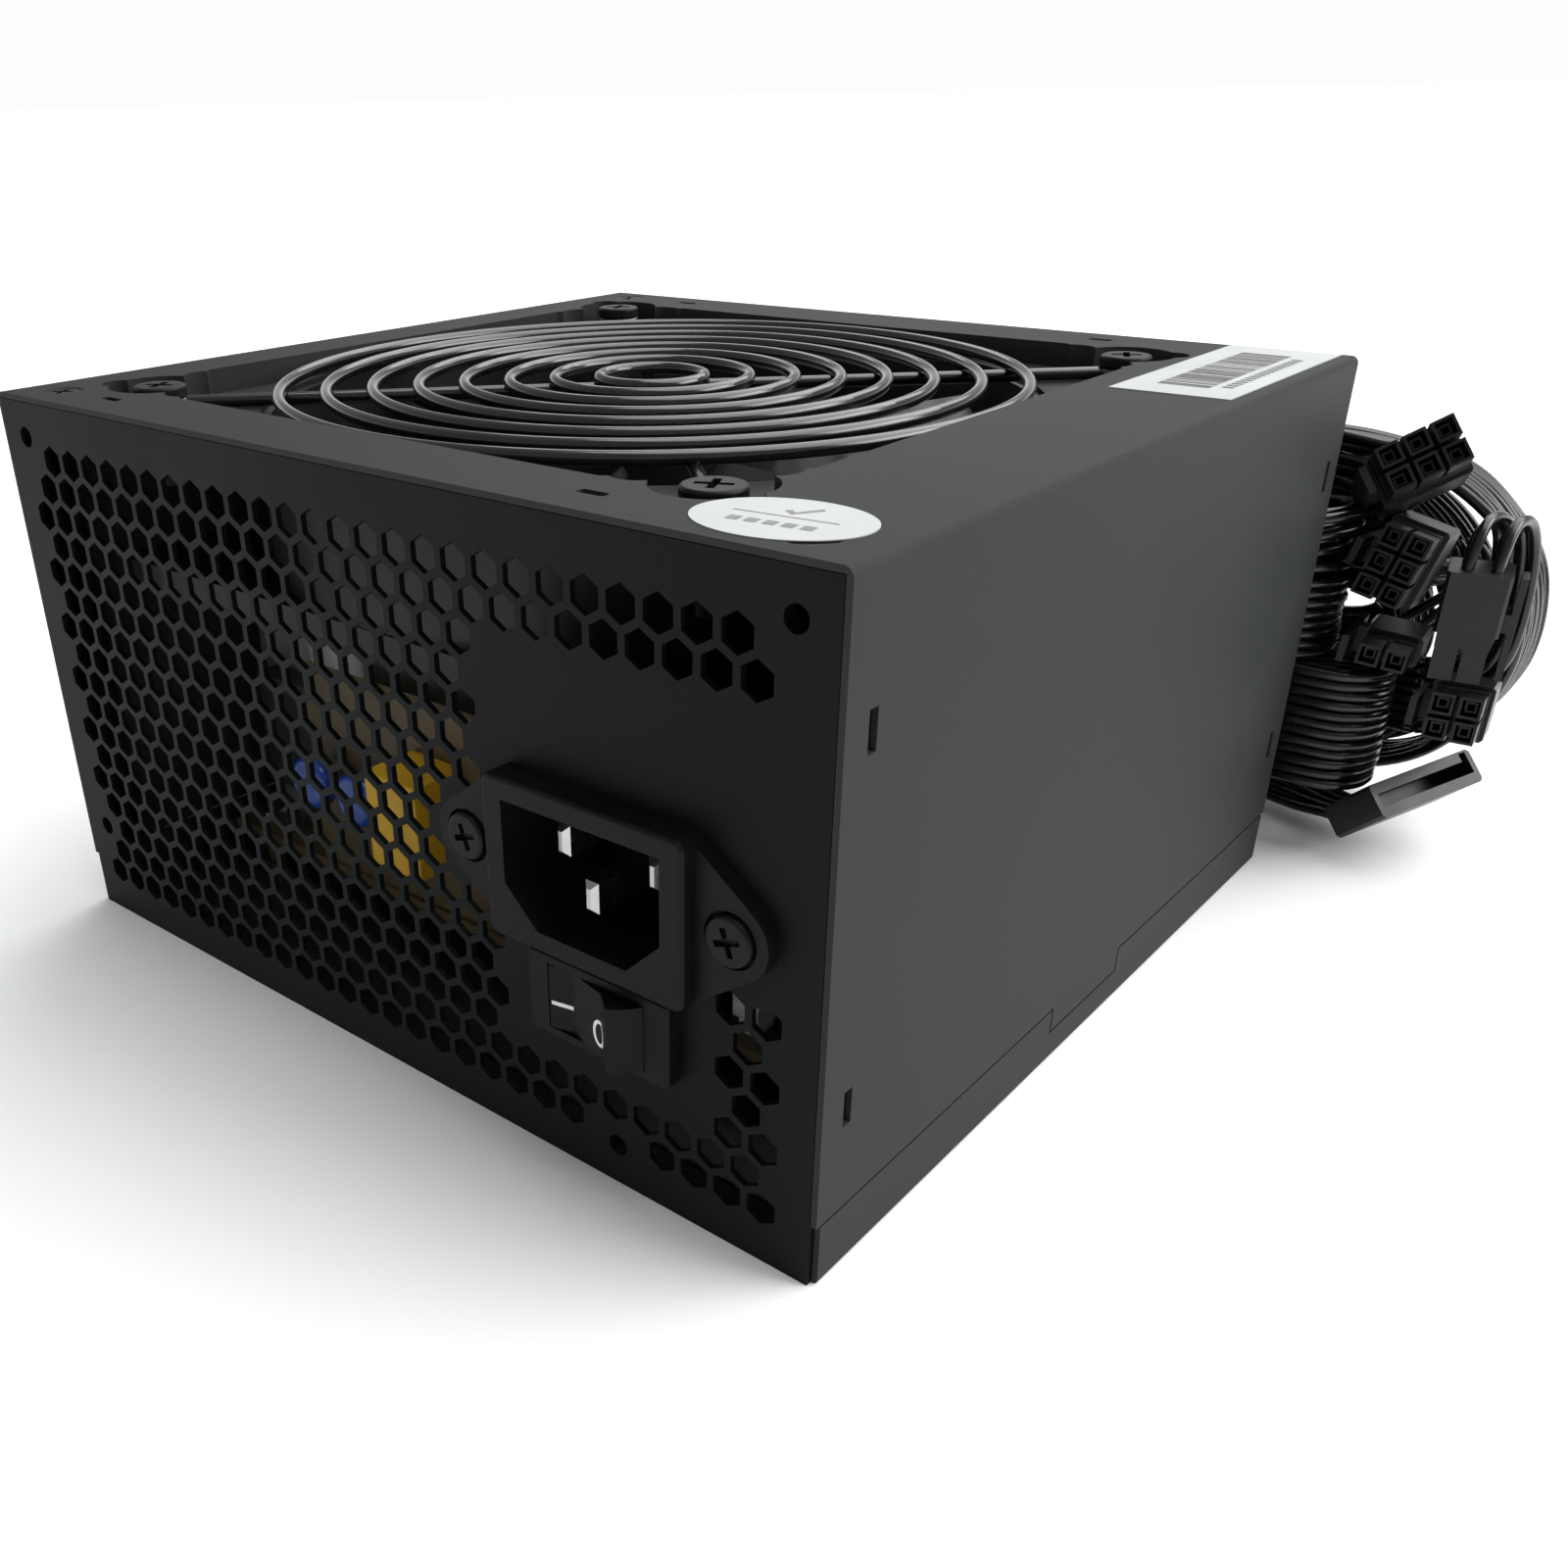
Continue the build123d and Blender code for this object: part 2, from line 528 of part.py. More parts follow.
def transformer(x, y, width, depth, height, core):
    """Ferrite core blocks around a taped winding: returns (core, winding)."""
    z0 = BOARD_TOP + 4
    winding = block(x - width / 2 + core, x + width / 2 - core, y - depth / 2, y + depth / 2,
                    z0 + core, z0 + height - core)
    winding = fillet(winding.edges().filter_by(Axis.X), min(6.0, height / 5))
    frame = block(x - width / 2, x + width / 2, y - depth * 0.28, y + depth * 0.28, z0, z0 + height)
    frame -= block(x - width / 2 + core, x + width / 2 - core, y - depth, y + depth, z0 + core, z0 + height - core)
    bobbin = block(x - width / 2, x + width / 2, y - depth * 0.45, y + depth * 0.45, BOARD_TOP, z0)
    return frame, winding + bobbin


def main_choke():
    """Common-mode choke: a wound ring standing on the board."""
    return Pos(46, -10, BOARD_TOP + 15.5) * Rot(0, 90, 0) * Torus(10.5, 5.0)


def output_choke():
    return Pos(47, 33, BOARD_TOP + 6.6) * Torus(11.5, 6.5)


def x_capacitor():
    """Yellow box film capacitor on the filter board, facing the mains side."""
    return fillet(block(-16.5, -5.5, -56.0, -46.0, 20.5, 36.0).edges(), 0.5)


def y_capacitors():
    """Two disc capacitors on the filter board."""
    disc = [Pos(x, -51.0, 27.0) * Rot(90, 0, 0) * Cylinder(4.4, 3.4) for x in (-35.5, -24.5)]
    legs = [block(x - 0.3, x + 0.3, -49.4, -46.0, 24.7, 25.3) for x in (-35.5, -24.5)]
    return Compound([fillet(d.edges(), 1.2) + leg for d, leg in zip(disc, legs)])


def fuse():
    """Cylindrical fuse lying in its clips at the mains corner of the board."""
    barrel = Pos(38, -42, BOARD_TOP + 3.8) * Rot(0, 90, 0) * Cylinder(2.6, 20)
    return barrel + [block(x - 1.5, x + 1.5, -44.0, -40.0, BOARD_TOP, BOARD_TOP + 3.0) for x in (30, 46)]


# ---- cables -------------------------------------------------------------------------------
def cable_grommet():
    """Ribbed plastic bush in the cable side, with flanges on both faces of the sheet."""
    def ring(width, height, y0, y1):
        return facing_back(EXIT_X, y1, EXIT_Z) * extrude(RectangleRounded(width, height, 3.0), y1 - y0)
    bush = ring(18.2, 28.2, HALF_D - SHEET - 0.05, HALF_D + 0.05)
    bush += ring(23, 33, HALF_D + 0.05, EXIT_Y)
    bush += ring(23, 33, HALF_D - SHEET - 2.0, HALF_D - SHEET - 0.05)
    opening = extrude(RectangleRounded(13.6, 23.6, 1.5), 20, both=True)
    return bush - facing_back(EXIT_X, HALF_D, EXIT_Z) * opening


def lead_radii(points):
    """Largest arc at each corner: 0.45 of the shorter run over the tangent of half the turn."""
    radii = []
    for a, b, c in zip(points, points[1:], points[2:]):
        first, second = Vector(*b) - Vector(*a), Vector(*c) - Vector(*b)
        turn = math.radians(first.get_angle(second))
        radii.append(0.45 * min(first.length, second.length) / math.tan(turn / 2))
    return radii


def ribbon(name, route, wires):
    """A flat cable on edge: its route lies level, and its width is upright."""
    points = [(x, y, EXIT_Z) for x, y in route]
    radii = lead_radii(points)
    path = FilletPolyline(*points, radius=radii)
    width = wires * WIRE_PITCH
    start = Plane(origin=points[0], x_dir=(1, 0, 0), z_dir=(0, 1, 0))
    strip = sweep(start * Rectangle(RIBBON_THICK, width), path=path)
    expected = path.length * width * RIBBON_THICK
    print(name, "radii", [round(r, 1) for r in radii], "volume over section x length",
          round(strip.volume / expected, 4))
    return strip


def lead_route(order, end_x, end_y):
    """From inside the grommet straight out, then round to the bundle, nested outside the lead before it."""
    x = EXIT_X + EXIT_STEP * (2 - order)
    reach = end_y - EXIT_Y
    return [(x, LEAD_START_Y), (x, EXIT_Y + reach * 0.5), (x + reach * 0.42, end_y), (end_x, end_y)]


def board_wires():
    """Wires from the circuit board up to the grommet, one above the other, the highest farthest in."""
    wires = []
    for k in range(MAIN_WIRES):
        z = EXIT_Z + (k - (MAIN_WIRES - 1) / 2) * WIRE_PITCH
        x, y = EXIT_X - 1.2 + 2.4 * (k % 2), BOARD[3] - 1.5 - k * 1.1
        path = FilletPolyline((x, y, BOARD_TOP), (x, y, z), (x, LEAD_START_Y - 0.3, z), radius=2.0)
        wires.append(sweep(Plane(origin=(x, y, BOARD_TOP), z_dir=(0, 0, 1)) * Circle(0.8), path=path))
    return Compound(wires)


def main_cable_hank():
    """Outer shape of the two wide ribbons, wound twice round an upright axis."""
    def turn(right, low, high):
        plan = Pos((MAIN_LEFT + right) / 2, MAIN_Y) * SlotOverall(right - MAIN_LEFT, MAIN_DEEP)
        plan += Pos(MAIN_LEFT + 5, MAIN_Y) * Rectangle(10, MAIN_DEEP - 2)
        return extrude(Pos(0, 0, low) * plan, high - low)
    width = MAIN_WIRES * WIRE_PITCH
    return turn(MAIN_RIGHT, MAIN_Z, MAIN_Z + width) + turn(MAIN_UPPER_RIGHT, MAIN_Z + width, MAIN_Z + 2 * width)


def loop_hank():
    """Outer shape of the power cables, looped round an axis along Y and tied."""
    length, height = LOOP_RIGHT - LOOP_LEFT, LOOP_TOP - LOOP_LOW
    ring = SlotOverall(length, height) - SlotOverall(length - 2 * LOOP_RADIAL, height - 2 * LOOP_RADIAL)
    ring += Pos(-length / 2 + 5, EXIT_Z - (LOOP_TOP + LOOP_LOW) / 2) * Rectangle(10, POWER_WIRES * WIRE_PITCH + 2)
    centre = Pos((LOOP_LEFT + LOOP_RIGHT) / 2, LOOP_BACK, (LOOP_TOP + LOOP_LOW) / 2)
    return centre * Rot(90, 0, 0) * extrude(ring, LOOP_BACK - LOOP_FRONT)


def cable_tie():
    """Band pulled tight round both windings, with its head on top."""
    front, top = MAIN_Y - MAIN_DEEP / 2, MAIN_Z + 2 * MAIN_WIRES * WIRE_PITCH
    hull = Polygon((front, MAIN_Z), (LOOP_FRONT, LOOP_LOW), (LOOP_BACK, LOOP_LOW), (LOOP_BACK, LOOP_TOP),
                   (LOOP_FRONT, LOOP_TOP), (front, top), align=None)
    outline = offset(hull, TIE_GAP + TIE_THICK) - offset(hull, TIE_GAP)
    plane = Plane(origin=(TIE_X, 0, 0), x_dir=(0, 1, 0), z_dir=(1, 0, 0)).location
    head_low = LOOP_TOP + TIE_GAP + TIE_THICK - 0.2
    head = block(TIE_X - 0.8, TIE_X + TIE_WIDE + 0.8, LOOP_FRONT + 3, LOOP_FRONT + 8, head_low, head_low + 4)
    return plane * extrude(outline, TIE_WIDE) + chamfer(head.edges(), 0.5)


def socket_housing(columns, rows):
    """Crimp-contact housing: square tubes with their sockets at local Z = 0, and a solid rear block."""
    width, height = columns * SOCKET_PITCH + 1.0, rows * SOCKET_PITCH + 1.0
    rear = HOUSING - TUBE
    body = Pos(0, 0, -TUBE - rear / 2) * Box(width, height, rear)
    body = chamfer(body.edges().filter_by(Axis.Z), 0.5)
    spots = [((i - (columns - 1) / 2) * SOCKET_PITCH, (j - (rows - 1) / 2) * SOCKET_PITCH)
             for i in range(columns) for j in range(rows)]
    for x, y in spots:
        body += Pos(x, y, -TUBE / 2) * Box(SOCKET_PITCH - 0.7, SOCKET_PITCH - 0.7, TUBE)
    body += Pos(0, 0, -TUBE + 1) * Box(width - 1.4, height - 1.4, 3)
    for x, y in spots:
        body -= Pos(x, y, -3.5) * Box(2.6, 2.6, 7.0)
        body += Pos(x, y, -4.6) * (Box(1.8, 1.8, 6.0) - Pos(0, 0, 1) * Box(1.1, 1.1, 6.0))
        body -= Pos(x, y, -HOUSING) * Cylinder(WIRE_PITCH / 2, 4.0)
    latch = Pos(-width / 2 - 1.6, 0, -HOUSING / 2) * Box(1.1, 4.6, HOUSING - 1)
    latch += Pos(-width / 2 - 0.6, 0, -TUBE - 2.0) * Box(1.6, 4.6, 3.0)
    return body + latch


def placed(shape, origin, across, out):
    """Puts a local shape so that its Z lies along out, and its X as near along across as it can."""
    z_dir = Vector(*out).normalized()
    x_dir = Vector(*across) - z_dir * Vector(*across).dot(z_dir)
    return Plane(origin=origin, x_dir=x_dir, z_dir=z_dir).location * shape


def main_connector():
    """Twenty-four way board connector, standing on top of the wound ribbons."""
    top = MAIN_Z + 2 * MAIN_WIRES * WIRE_PITCH
    return placed(socket_housing(2, 12), (40.0, MAIN_Y, top + HOUSING + 0.6), (0, -1, 0), (0, 0, 1))


def pcie_connector_lower():
    """Six-way graphics connector beside the wound ribbons."""
    return placed(socket_housing(2, 3), (84.6, 77.0, 53.5), (0.97, 0.0, -0.24), (0.05, -0.98, 0.15))


def pcie_side_connector():
    """The two extra ways that go beside the six-way connector."""
    return placed(socket_housing(2, 1), (86.4, 77.0, 38.2), (0.99, 0.0, -0.08), (0.1, -1.0, 0.05))


def pcie_connector_upper():
    """The second six-way graphics connector, on top of the bundle."""
    return placed(socket_housing(3, 2), (85.4, 77.0, 71.6), (0.78, 0.12, 0.60), (0.25, -0.85, 0.40))


def cpu_connector():
    """Processor connector: one four-way half hangs down, the other points out below it."""
    hanging = placed(socket_housing(2, 2), (96.4, 83.5, 35.9), (-1.0, -0.2, 0.0), (0.0, 0.0, -1.0))
    facing = placed(socket_housing(2, 2), (99.0, 77.5, 30.4), (0.98, 0.1, 0.0), (0.1, -0.95, 0.15))
    return Compound([hanging, facing])


def sata_plug(origin, across, out):
    """Flat drive power plug with its key slot."""
    body = Pos(0, 0, -6.0) * Box(22.6, 6.2, 12.0)
    body = chamfer(body.edges().filter_by(Axis.Z), 0.6)
    body -= Pos(0, 0, -2.5) * Box(20.6, 2.4, 8.0)
    body -= Pos(9.6, 1.2, -2.5) * Box(1.4, 3.0, 8.0)
    return placed(body, origin, across, out)


def sata_plug_end():
    return sata_plug((96.6, 84.0, 15.9), (0.45, 0.88, 0.14), (0.62, -0.40, 0.68))


def sata_plug_middle():
    return sata_plug((68.0, 103.0, 44.3), (1.0, 0.0, 0.0), (0.0, -1.0, 0.0))


def drive_plug():
    """Four-way peripheral plug: round sockets in a body with two cut corners."""
    body = Pos(0, 0, -7.0) * Box(21.0, 6.4, 14.0)
    body = chamfer(body.edges().filter_by(Axis.Z).group_by(Axis.Y)[-1], 1.6)
    for k in range(4):
        body -= Pos((k - 1.5) * 5.08, 0, -4.0) * Cylinder(1.2, 8.1)
    return placed(body, (30.0, 101.5, 32.0), (1, 0, 0), (0, -1, 0))


def labels():
    """Oval inspection sticker and the bar-code sticker on the cover."""
    oval = Pos(60.4, -60.4, HEIGHT) * Rot(0, 0, 6) * extrude(Ellipse(10.0, 7.6), 0.12)
    code = block(55.6, 72.6, 24.2, 69.4, HEIGHT, HEIGHT + 0.12)
    return oval, code


def save(name, shape):
    shape.label = name
    export_step(shape, "parts/" + name + ".step")


def build():
    os.makedirs("parts", exist_ok=True)
    main_core, main_winding = transformer(-8, 12, 36, 32, 34, 7)
    small_core, small_winding = transformer(25, 7, 20, 19, 22, 4)
    qc_label, barcode_label = labels()
    parts = {
        "base_tray": base_tray(), "rear_panel": rear_panel(), "front_panel": front_panel(),
        "top_cover": top_cover(), "cover_screws": cover_screws(),
        "fan_frame": fan_frame(), "fan_bearing": fan_bearing(), "fan_stator": fan_stator(),
        "fan_impeller": fan_impeller(), "fan_shaft": fan_shaft(), "fan_guard": fan_guard(),
        "fan_screws": fan_screws(),
        "inlet_body": inlet_body(), "inlet_pins": inlet_pins(), "inlet_screws": inlet_screws(),
        "switch_body": switch_body(), "switch_rocker": switch_rocker(), "switch_tags": switch_tags(),
        "insulation_sheet": insulation_sheet(), "main_board": main_board(),
        "board_standoffs": board_standoffs(), "board_screws": board_screws(),
        "filter_board": filter_board(), "primary_heatsink": primary_heatsink(),
        "secondary_heatsink": secondary_heatsink(), "power_transistors": power_transistors(),
        "output_rectifiers": output_rectifiers(), "bridge_rectifier": bridge_rectifier(),
        "bulk_capacitors": bulk_capacitors(), "output_capacitors": output_capacitors(),
        "transformer_core": main_core, "transformer_winding": main_winding,
        "standby_transformer_core": small_core, "standby_transformer_winding": small_winding,
        "filter_choke": main_choke(), "output_choke": output_choke(),
        "x_capacitor": x_capacitor(), "y_capacitors": y_capacitors(), "fuse": fuse(),
        "cable_grommet": cable_grommet(), "board_wires": board_wires(),
        "main_lead_inner": ribbon("main_lead_inner", lead_route(0, MAIN_LEFT, 82.5), MAIN_WIRES),
        "main_lead_outer": ribbon("main_lead_outer", lead_route(1, MAIN_LEFT, 88.0), MAIN_WIRES),
        "pcie_lead": ribbon("pcie_lead", lead_route(2, LOOP_LEFT, 104.5), POWER_WIRES),
        "cpu_lead": ribbon("cpu_lead", lead_route(3, LOOP_LEFT, 110.0), POWER_WIRES),
        "drive_lead": ribbon("drive_lead", lead_route(4, LOOP_LEFT, 115.0), DRIVE_WIRES),
        "main_cable_hank": main_cable_hank(), "loop_hank": loop_hank(), "cable_tie": cable_tie(),
        "main_connector": main_connector(), "pcie_connector_lower": pcie_connector_lower(),
        "pcie_side_connector": pcie_side_connector(), "pcie_connector_upper": pcie_connector_upper(),
        "cpu_connector": cpu_connector(), "sata_plug_end": sata_plug_end(),
        "sata_plug_middle": sata_plug_middle(), "drive_plug": drive_plug(),
        "qc_label": qc_label, "barcode_label": barcode_label,
    }
    for name, shape in parts.items():
        save(name, shape)
    print(len(parts), "parts")


build()
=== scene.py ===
"""Looks of a computer power supply unit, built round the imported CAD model. Metres, +Z up."""
import math
import random

import bpy
import numpy as np
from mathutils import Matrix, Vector
from mathutils.bvhtree import BVHTree
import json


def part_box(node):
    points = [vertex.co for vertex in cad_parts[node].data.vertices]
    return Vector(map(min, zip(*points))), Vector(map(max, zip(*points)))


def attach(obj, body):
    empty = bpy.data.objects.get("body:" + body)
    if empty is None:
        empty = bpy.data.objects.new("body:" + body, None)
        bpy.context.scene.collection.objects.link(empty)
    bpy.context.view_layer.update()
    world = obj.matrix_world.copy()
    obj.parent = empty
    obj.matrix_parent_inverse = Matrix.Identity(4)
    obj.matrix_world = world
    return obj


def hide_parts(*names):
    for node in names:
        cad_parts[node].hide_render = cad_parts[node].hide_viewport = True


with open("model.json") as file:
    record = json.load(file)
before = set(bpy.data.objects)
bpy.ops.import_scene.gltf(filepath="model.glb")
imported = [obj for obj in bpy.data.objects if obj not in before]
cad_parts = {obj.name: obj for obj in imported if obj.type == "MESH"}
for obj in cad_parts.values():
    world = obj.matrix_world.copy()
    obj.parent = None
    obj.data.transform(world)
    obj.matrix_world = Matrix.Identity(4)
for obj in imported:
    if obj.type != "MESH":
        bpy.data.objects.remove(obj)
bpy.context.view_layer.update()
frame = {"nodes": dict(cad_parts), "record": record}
nodes = frame["nodes"]

MM = 0.001
UP, ACROSS, ALONG = (0, 0, 1), (0, 1, 0), (1, 0, 0)



def add_object(name, data):
    """A new object in the scene, holding the given mesh, light or camera."""
    obj = bpy.data.objects.new(name, data)
    bpy.context.scene.collection.objects.link(obj)
    return obj


# ---- camera -------------------------------------------------------------------------------
camera_data = bpy.data.cameras.new("camera")
camera_data.lens = 33.444
camera_data.sensor_width = 36.0
camera_data.shift_x = 0.1005
camera_data.shift_y = 0.0639
camera_data.clip_start = 0.01
camera_data.clip_end = 100.0
camera = add_object("camera", camera_data)
camera.location = (0.14289, -0.17895, 0.12344)
camera.rotation_euler = [math.radians(a) for a in (61.4156, 1.0142, 40.7132)]
bpy.context.scene.camera = camera


# ---- materials ----------------------------------------------------------------------------
NOISE_LOW, NOISE_HIGH = 0.3, 0.7


def new_material(name):
    """A material with its node tree and its shader."""
    material = bpy.data.materials.new(name)
    material.use_nodes = True
    tree = material.node_tree
    shader = tree.nodes["Principled BSDF"]
    return material, tree, shader


def noise_value(tree, scale, detail=3.0, stretch=None):
    """Noise over the surface in object coordinates, as a socket; stretch scales each axis."""
    where = tree.nodes.new("ShaderNodeTexCoord")
    noise = tree.nodes.new("ShaderNodeTexNoise")
    noise.inputs["Scale"].default_value = scale
    noise.inputs["Detail"].default_value = detail
    source = where.outputs["Object"]
    if stretch:
        mapping = tree.nodes.new("ShaderNodeMapping")
        mapping.inputs["Scale"].default_value = stretch
        tree.links.new(source, mapping.inputs["Vector"])
        source = mapping.outputs["Vector"]
    tree.links.new(source, noise.inputs["Vector"])
    return noise.outputs["Fac"]


def ramp(tree, value, low, high, start=0.35, stop=0.65):
    """A colour that goes from low to high as the value goes from start to stop."""
    node = tree.nodes.new("ShaderNodeValToRGB")
    node.color_ramp.elements[0].position = start
    node.color_ramp.elements[1].position = stop
    node.color_ramp.elements[0].color = (*low, 1)
    node.color_ramp.elements[1].color = (*high, 1)
    tree.links.new(value, node.inputs["Fac"])
    return node.outputs["Color"]


def spread(tree, value, low, high):
    """A number that goes from low to high over the usual range of a noise value."""
    node = tree.nodes.new("ShaderNodeMapRange")
    node.inputs["From Min"].default_value = NOISE_LOW
    node.inputs["From Max"].default_value = NOISE_HIGH
    node.inputs["To Min"].default_value = low
    node.inputs["To Max"].default_value = high
    tree.links.new(value, node.inputs["Value"])
    return node.outputs["Result"]


def bumped(tree, shader, value, distance, strength):
    bump = tree.nodes.new("ShaderNodeBump")
    bump.inputs["Distance"].default_value = distance
    bump.inputs["Strength"].default_value = strength
    tree.links.new(value, bump.inputs["Height"])
    tree.links.new(bump.outputs["Normal"], shader.inputs["Normal"])


def surface(name, low, high, rough, patch=60.0, grain=1500.0, bump=0.00002, strength=0.5,
            metal=0.0, coat=0.0, coat_rough=0.1, specular=0.5, stretch=None):
    """Two close colours in soft patches, a varying roughness and a fine raised grain."""
    material, tree, shader = new_material(name)
    soft = noise_value(tree, patch, 4.0, stretch)
    fine = noise_value(tree, grain, 2.0, stretch)
    tree.links.new(ramp(tree, soft, low, high), shader.inputs["Base Color"])
    tree.links.new(spread(tree, soft, *rough), shader.inputs["Roughness"])
    bumped(tree, shader, fine, bump, strength)
    shader.inputs["Metallic"].default_value = metal
    shader.inputs["Coat Weight"].default_value = coat
    shader.inputs["Coat Roughness"].default_value = coat_rough
    shader.inputs["Specular IOR Level"].default_value = specular
    return material


def grey(value):
    return (value, value, value)


MATERIALS = {
    "case_paint": surface("case_paint", (0.024, 0.026, 0.026), (0.029, 0.031, 0.031), (0.54, 0.62),
                          patch=35, grain=2600, bump=0.00003, strength=0.4, specular=0.09),
    "bare_steel": surface("bare_steel", grey(0.42), grey(0.5), (0.3, 0.42), metal=1.0, stretch=(1, 1, 9)),
    "black_screw": surface("black_screw", grey(0.005), grey(0.008), (0.34, 0.46), patch=300,
                           specular=0.14),
    "guard_wire": surface("guard_wire", grey(0.006), grey(0.01), (0.16, 0.24), patch=90, grain=900,
                          bump=0.00001, strength=0.3, coat=0.4, coat_rough=0.08),
    "fan_plastic": surface("fan_plastic", grey(0.01), grey(0.014), (0.36, 0.46), patch=80, grain=2200),
    "inlet_plastic": surface("inlet_plastic", grey(0.004), grey(0.006), (0.42, 0.5), patch=120, grain=3000,
                             strength=0.3, specular=0.12),
    "contact_metal": surface("contact_metal", grey(0.42), grey(0.52), (0.2, 0.32), patch=200, metal=1.0),
    "brass": surface("brass", (0.62, 0.45, 0.2), (0.75, 0.56, 0.28), (0.25, 0.35), patch=200, metal=1.0),
    "copper": surface("copper", (0.55, 0.22, 0.08), (0.7, 0.3, 0.12), (0.25, 0.35), patch=150, metal=1.0,
                      stretch=(1, 1, 12)),
    "board": surface("board", (0.10, 0.075, 0.035), (0.13, 0.095, 0.045), (0.4, 0.5), patch=90),
    "insulation": surface("insulation", (0.02, 0.02, 0.021), (0.03, 0.03, 0.031), (0.3, 0.45), patch=50),
    "heatsink": surface("heatsink", grey(0.5), grey(0.62), (0.35, 0.48), metal=1.0, stretch=(8, 1, 1)),
    "ferrite": surface("ferrite", grey(0.02), grey(0.035), (0.5, 0.65), patch=250, grain=1800),
    "yellow_tape": surface("yellow_tape", (0.75, 0.45, 0.02), (0.85, 0.55, 0.04), (0.28, 0.4), patch=120),
    "yellow_case": surface("yellow_case", (0.72, 0.40, 0.015), (0.84, 0.50, 0.03), (0.3, 0.42), patch=90),
    "blue_case": surface("blue_case", (0.01, 0.06, 0.35), (0.02, 0.09, 0.45), (0.22, 0.34), patch=150,
                         coat=0.4),
    "can_sleeve": surface("can_sleeve", (0.012, 0.012, 0.02), (0.02, 0.02, 0.032), (0.22, 0.32), patch=90,
                          coat=0.4),
    "component_black": surface("component_black", grey(0.012), grey(0.02), (0.4, 0.55), patch=200),
    "fuse_glass": surface("fuse_glass", grey(0.6), grey(0.7), (0.08, 0.16), patch=200, coat=0.5),
    "ring_core": surface("ring_core", (0.06, 0.16, 0.05), (0.09, 0.22, 0.07), (0.4, 0.5), patch=200),
    "cable_sheath": surface("cable_sheath", grey(0.004), grey(0.007), (0.22, 0.30), patch=70, grain=700,
                            bump=0.00006, strength=0.35, specular=0.45),
    "connector_plastic": surface("connector_plastic", grey(0.006), grey(0.010), (0.32, 0.42), patch=200,
                                 grain=2500, strength=0.3, specular=0.3),
    "label_paper": surface("label_paper", (0.44, 0.45, 0.45), (0.48, 0.49, 0.49), (0.38, 0.5), patch=60,
                           grain=2400, strength=0.25),
}
# A much darker, slightly teal copy of the case paint for the rear panel: painted shade, standing in for the
# shade the rear face lies in; the real case is one paint all over.
SHADED_REAR_PAINT = surface("rear_paint_painted_shade", (0.0036, 0.0045, 0.0047), (0.0048, 0.0058, 0.0062), (0.46, 0.54),
                     patch=35, grain=2600, bump=0.00003, strength=0.4, specular=0.09)
INK = surface("label_ink", grey(0.02), grey(0.05), (0.4, 0.5), patch=900, grain=3000)
STICKER_INK = surface("sticker_ink", grey(0.16), grey(0.2), (0.4, 0.5), patch=900, grain=3000)
WHITE_PRINT = surface("white_print", grey(0.7), grey(0.82), (0.4, 0.5), patch=900, grain=3000)

for part in frame["record"]["subparts"]:
    obj = nodes[part["node"]]
    for holder in obj.material_slots:
        holder.material = MATERIALS[part["material_slot"]]
# The rear panel takes the darker copy of the case paint: painted shade on the rear face.
for holder in nodes["rear_panel"].material_slots:
    holder.material = SHADED_REAR_PAINT


# ---- cables -------------------------------------------------------------------------------
WIRE = 1.8 * MM  # from one wire of a ribbon to the next
WIRE_R = 0.92 * MM
SIDES = 10
SOCKET = 4.2 * MM  # from one socket of a connector to the next
STRAY, RAISE = 0.12 * MM, 0.22 * MM  # how far a wire wanders along the ribbon's width, and out of its face
WAVES = (0.021, 0.037, 0.064)
WAVES_REACH = 1.7
FULL_TURN = 6.28
FADE_OVER = 0.02
CHANGE_OVER = 0.02
CURVE_STEPS, CURVE_ORDER = 9, 3
SIDE_STEP = 0.01


def spline_points(points):
    """The points along one NURBS spline, as Blender draws it."""
    curve = bpy.data.curves.new("route", "CURVE")
    curve.dimensions = "3D"
    curve.resolution_u = CURVE_STEPS
    spline = curve.splines.new("NURBS")
    spline.points.add(len(points) - 1)
    for control, point in zip(spline.points, points):
        control.co = (*point, 1.0)
    spline.order_u = CURVE_ORDER
    spline.use_endpoint_u = True
    holder = bpy.data.objects.new("route", curve)
    mesh = bpy.data.meshes.new_from_object(holder)
    line = np.array([v.co for v in mesh.vertices], float)
    bpy.data.meshes.remove(mesh)
    bpy.data.curves.remove(curve)
    return line


def unit(rows):
    """Each row scaled to length 1."""
    return rows / np.maximum(np.linalg.norm(rows, axis=1, keepdims=True), 1e-12)


class Route:
    """A flat cable's centreline, with its width direction and its face's direction at each point."""

    def __init__(self, stations):
        points = np.array([s[0:3] for s in stations], float)
        widths = unit(np.array([s[3] for s in stations], float))
        self.line = spline_points(points)
        side = spline_points(points + widths * SIDE_STEP)
        tangent = unit(np.gradient(self.line, axis=0))
        wide = side - self.line
        wide -= tangent * (wide * tangent).sum(1, keepdims=True)
        self.wide = unit(wide)
        self.face = np.cross(tangent, self.wide)
        steps = np.linalg.norm(np.diff(self.line, axis=0), axis=1)
        self.along = np.concatenate([[0], np.cumsum(steps)])
        self.length = float(self.along[-1])

    def part(self, first, last):
        """The stretch of this route between two distances along it."""
        piece = object.__new__(Route)
        keep = (self.along >= first - 1e-9) & (self.along <= last + 1e-9)
        piece.line, piece.wide, piece.face = self.line[keep], self.wide[keep], self.face[keep]
        piece.along = self.along[keep] - self.along[keep][0]
        piece.length = float(piece.along[-1])
        return piece


def flat_layout(count):
    """Wires side by side: each one's place across the ribbon, and out of its face."""
    return [((k - (count - 1) / 2) * WIRE, 0.0) for k in range(count)]


def eased(x):
    """0 to 1 with a gentle start and end."""
    x = np.clip(x, 0, 1)
    return x * x * (3 - 2 * x)


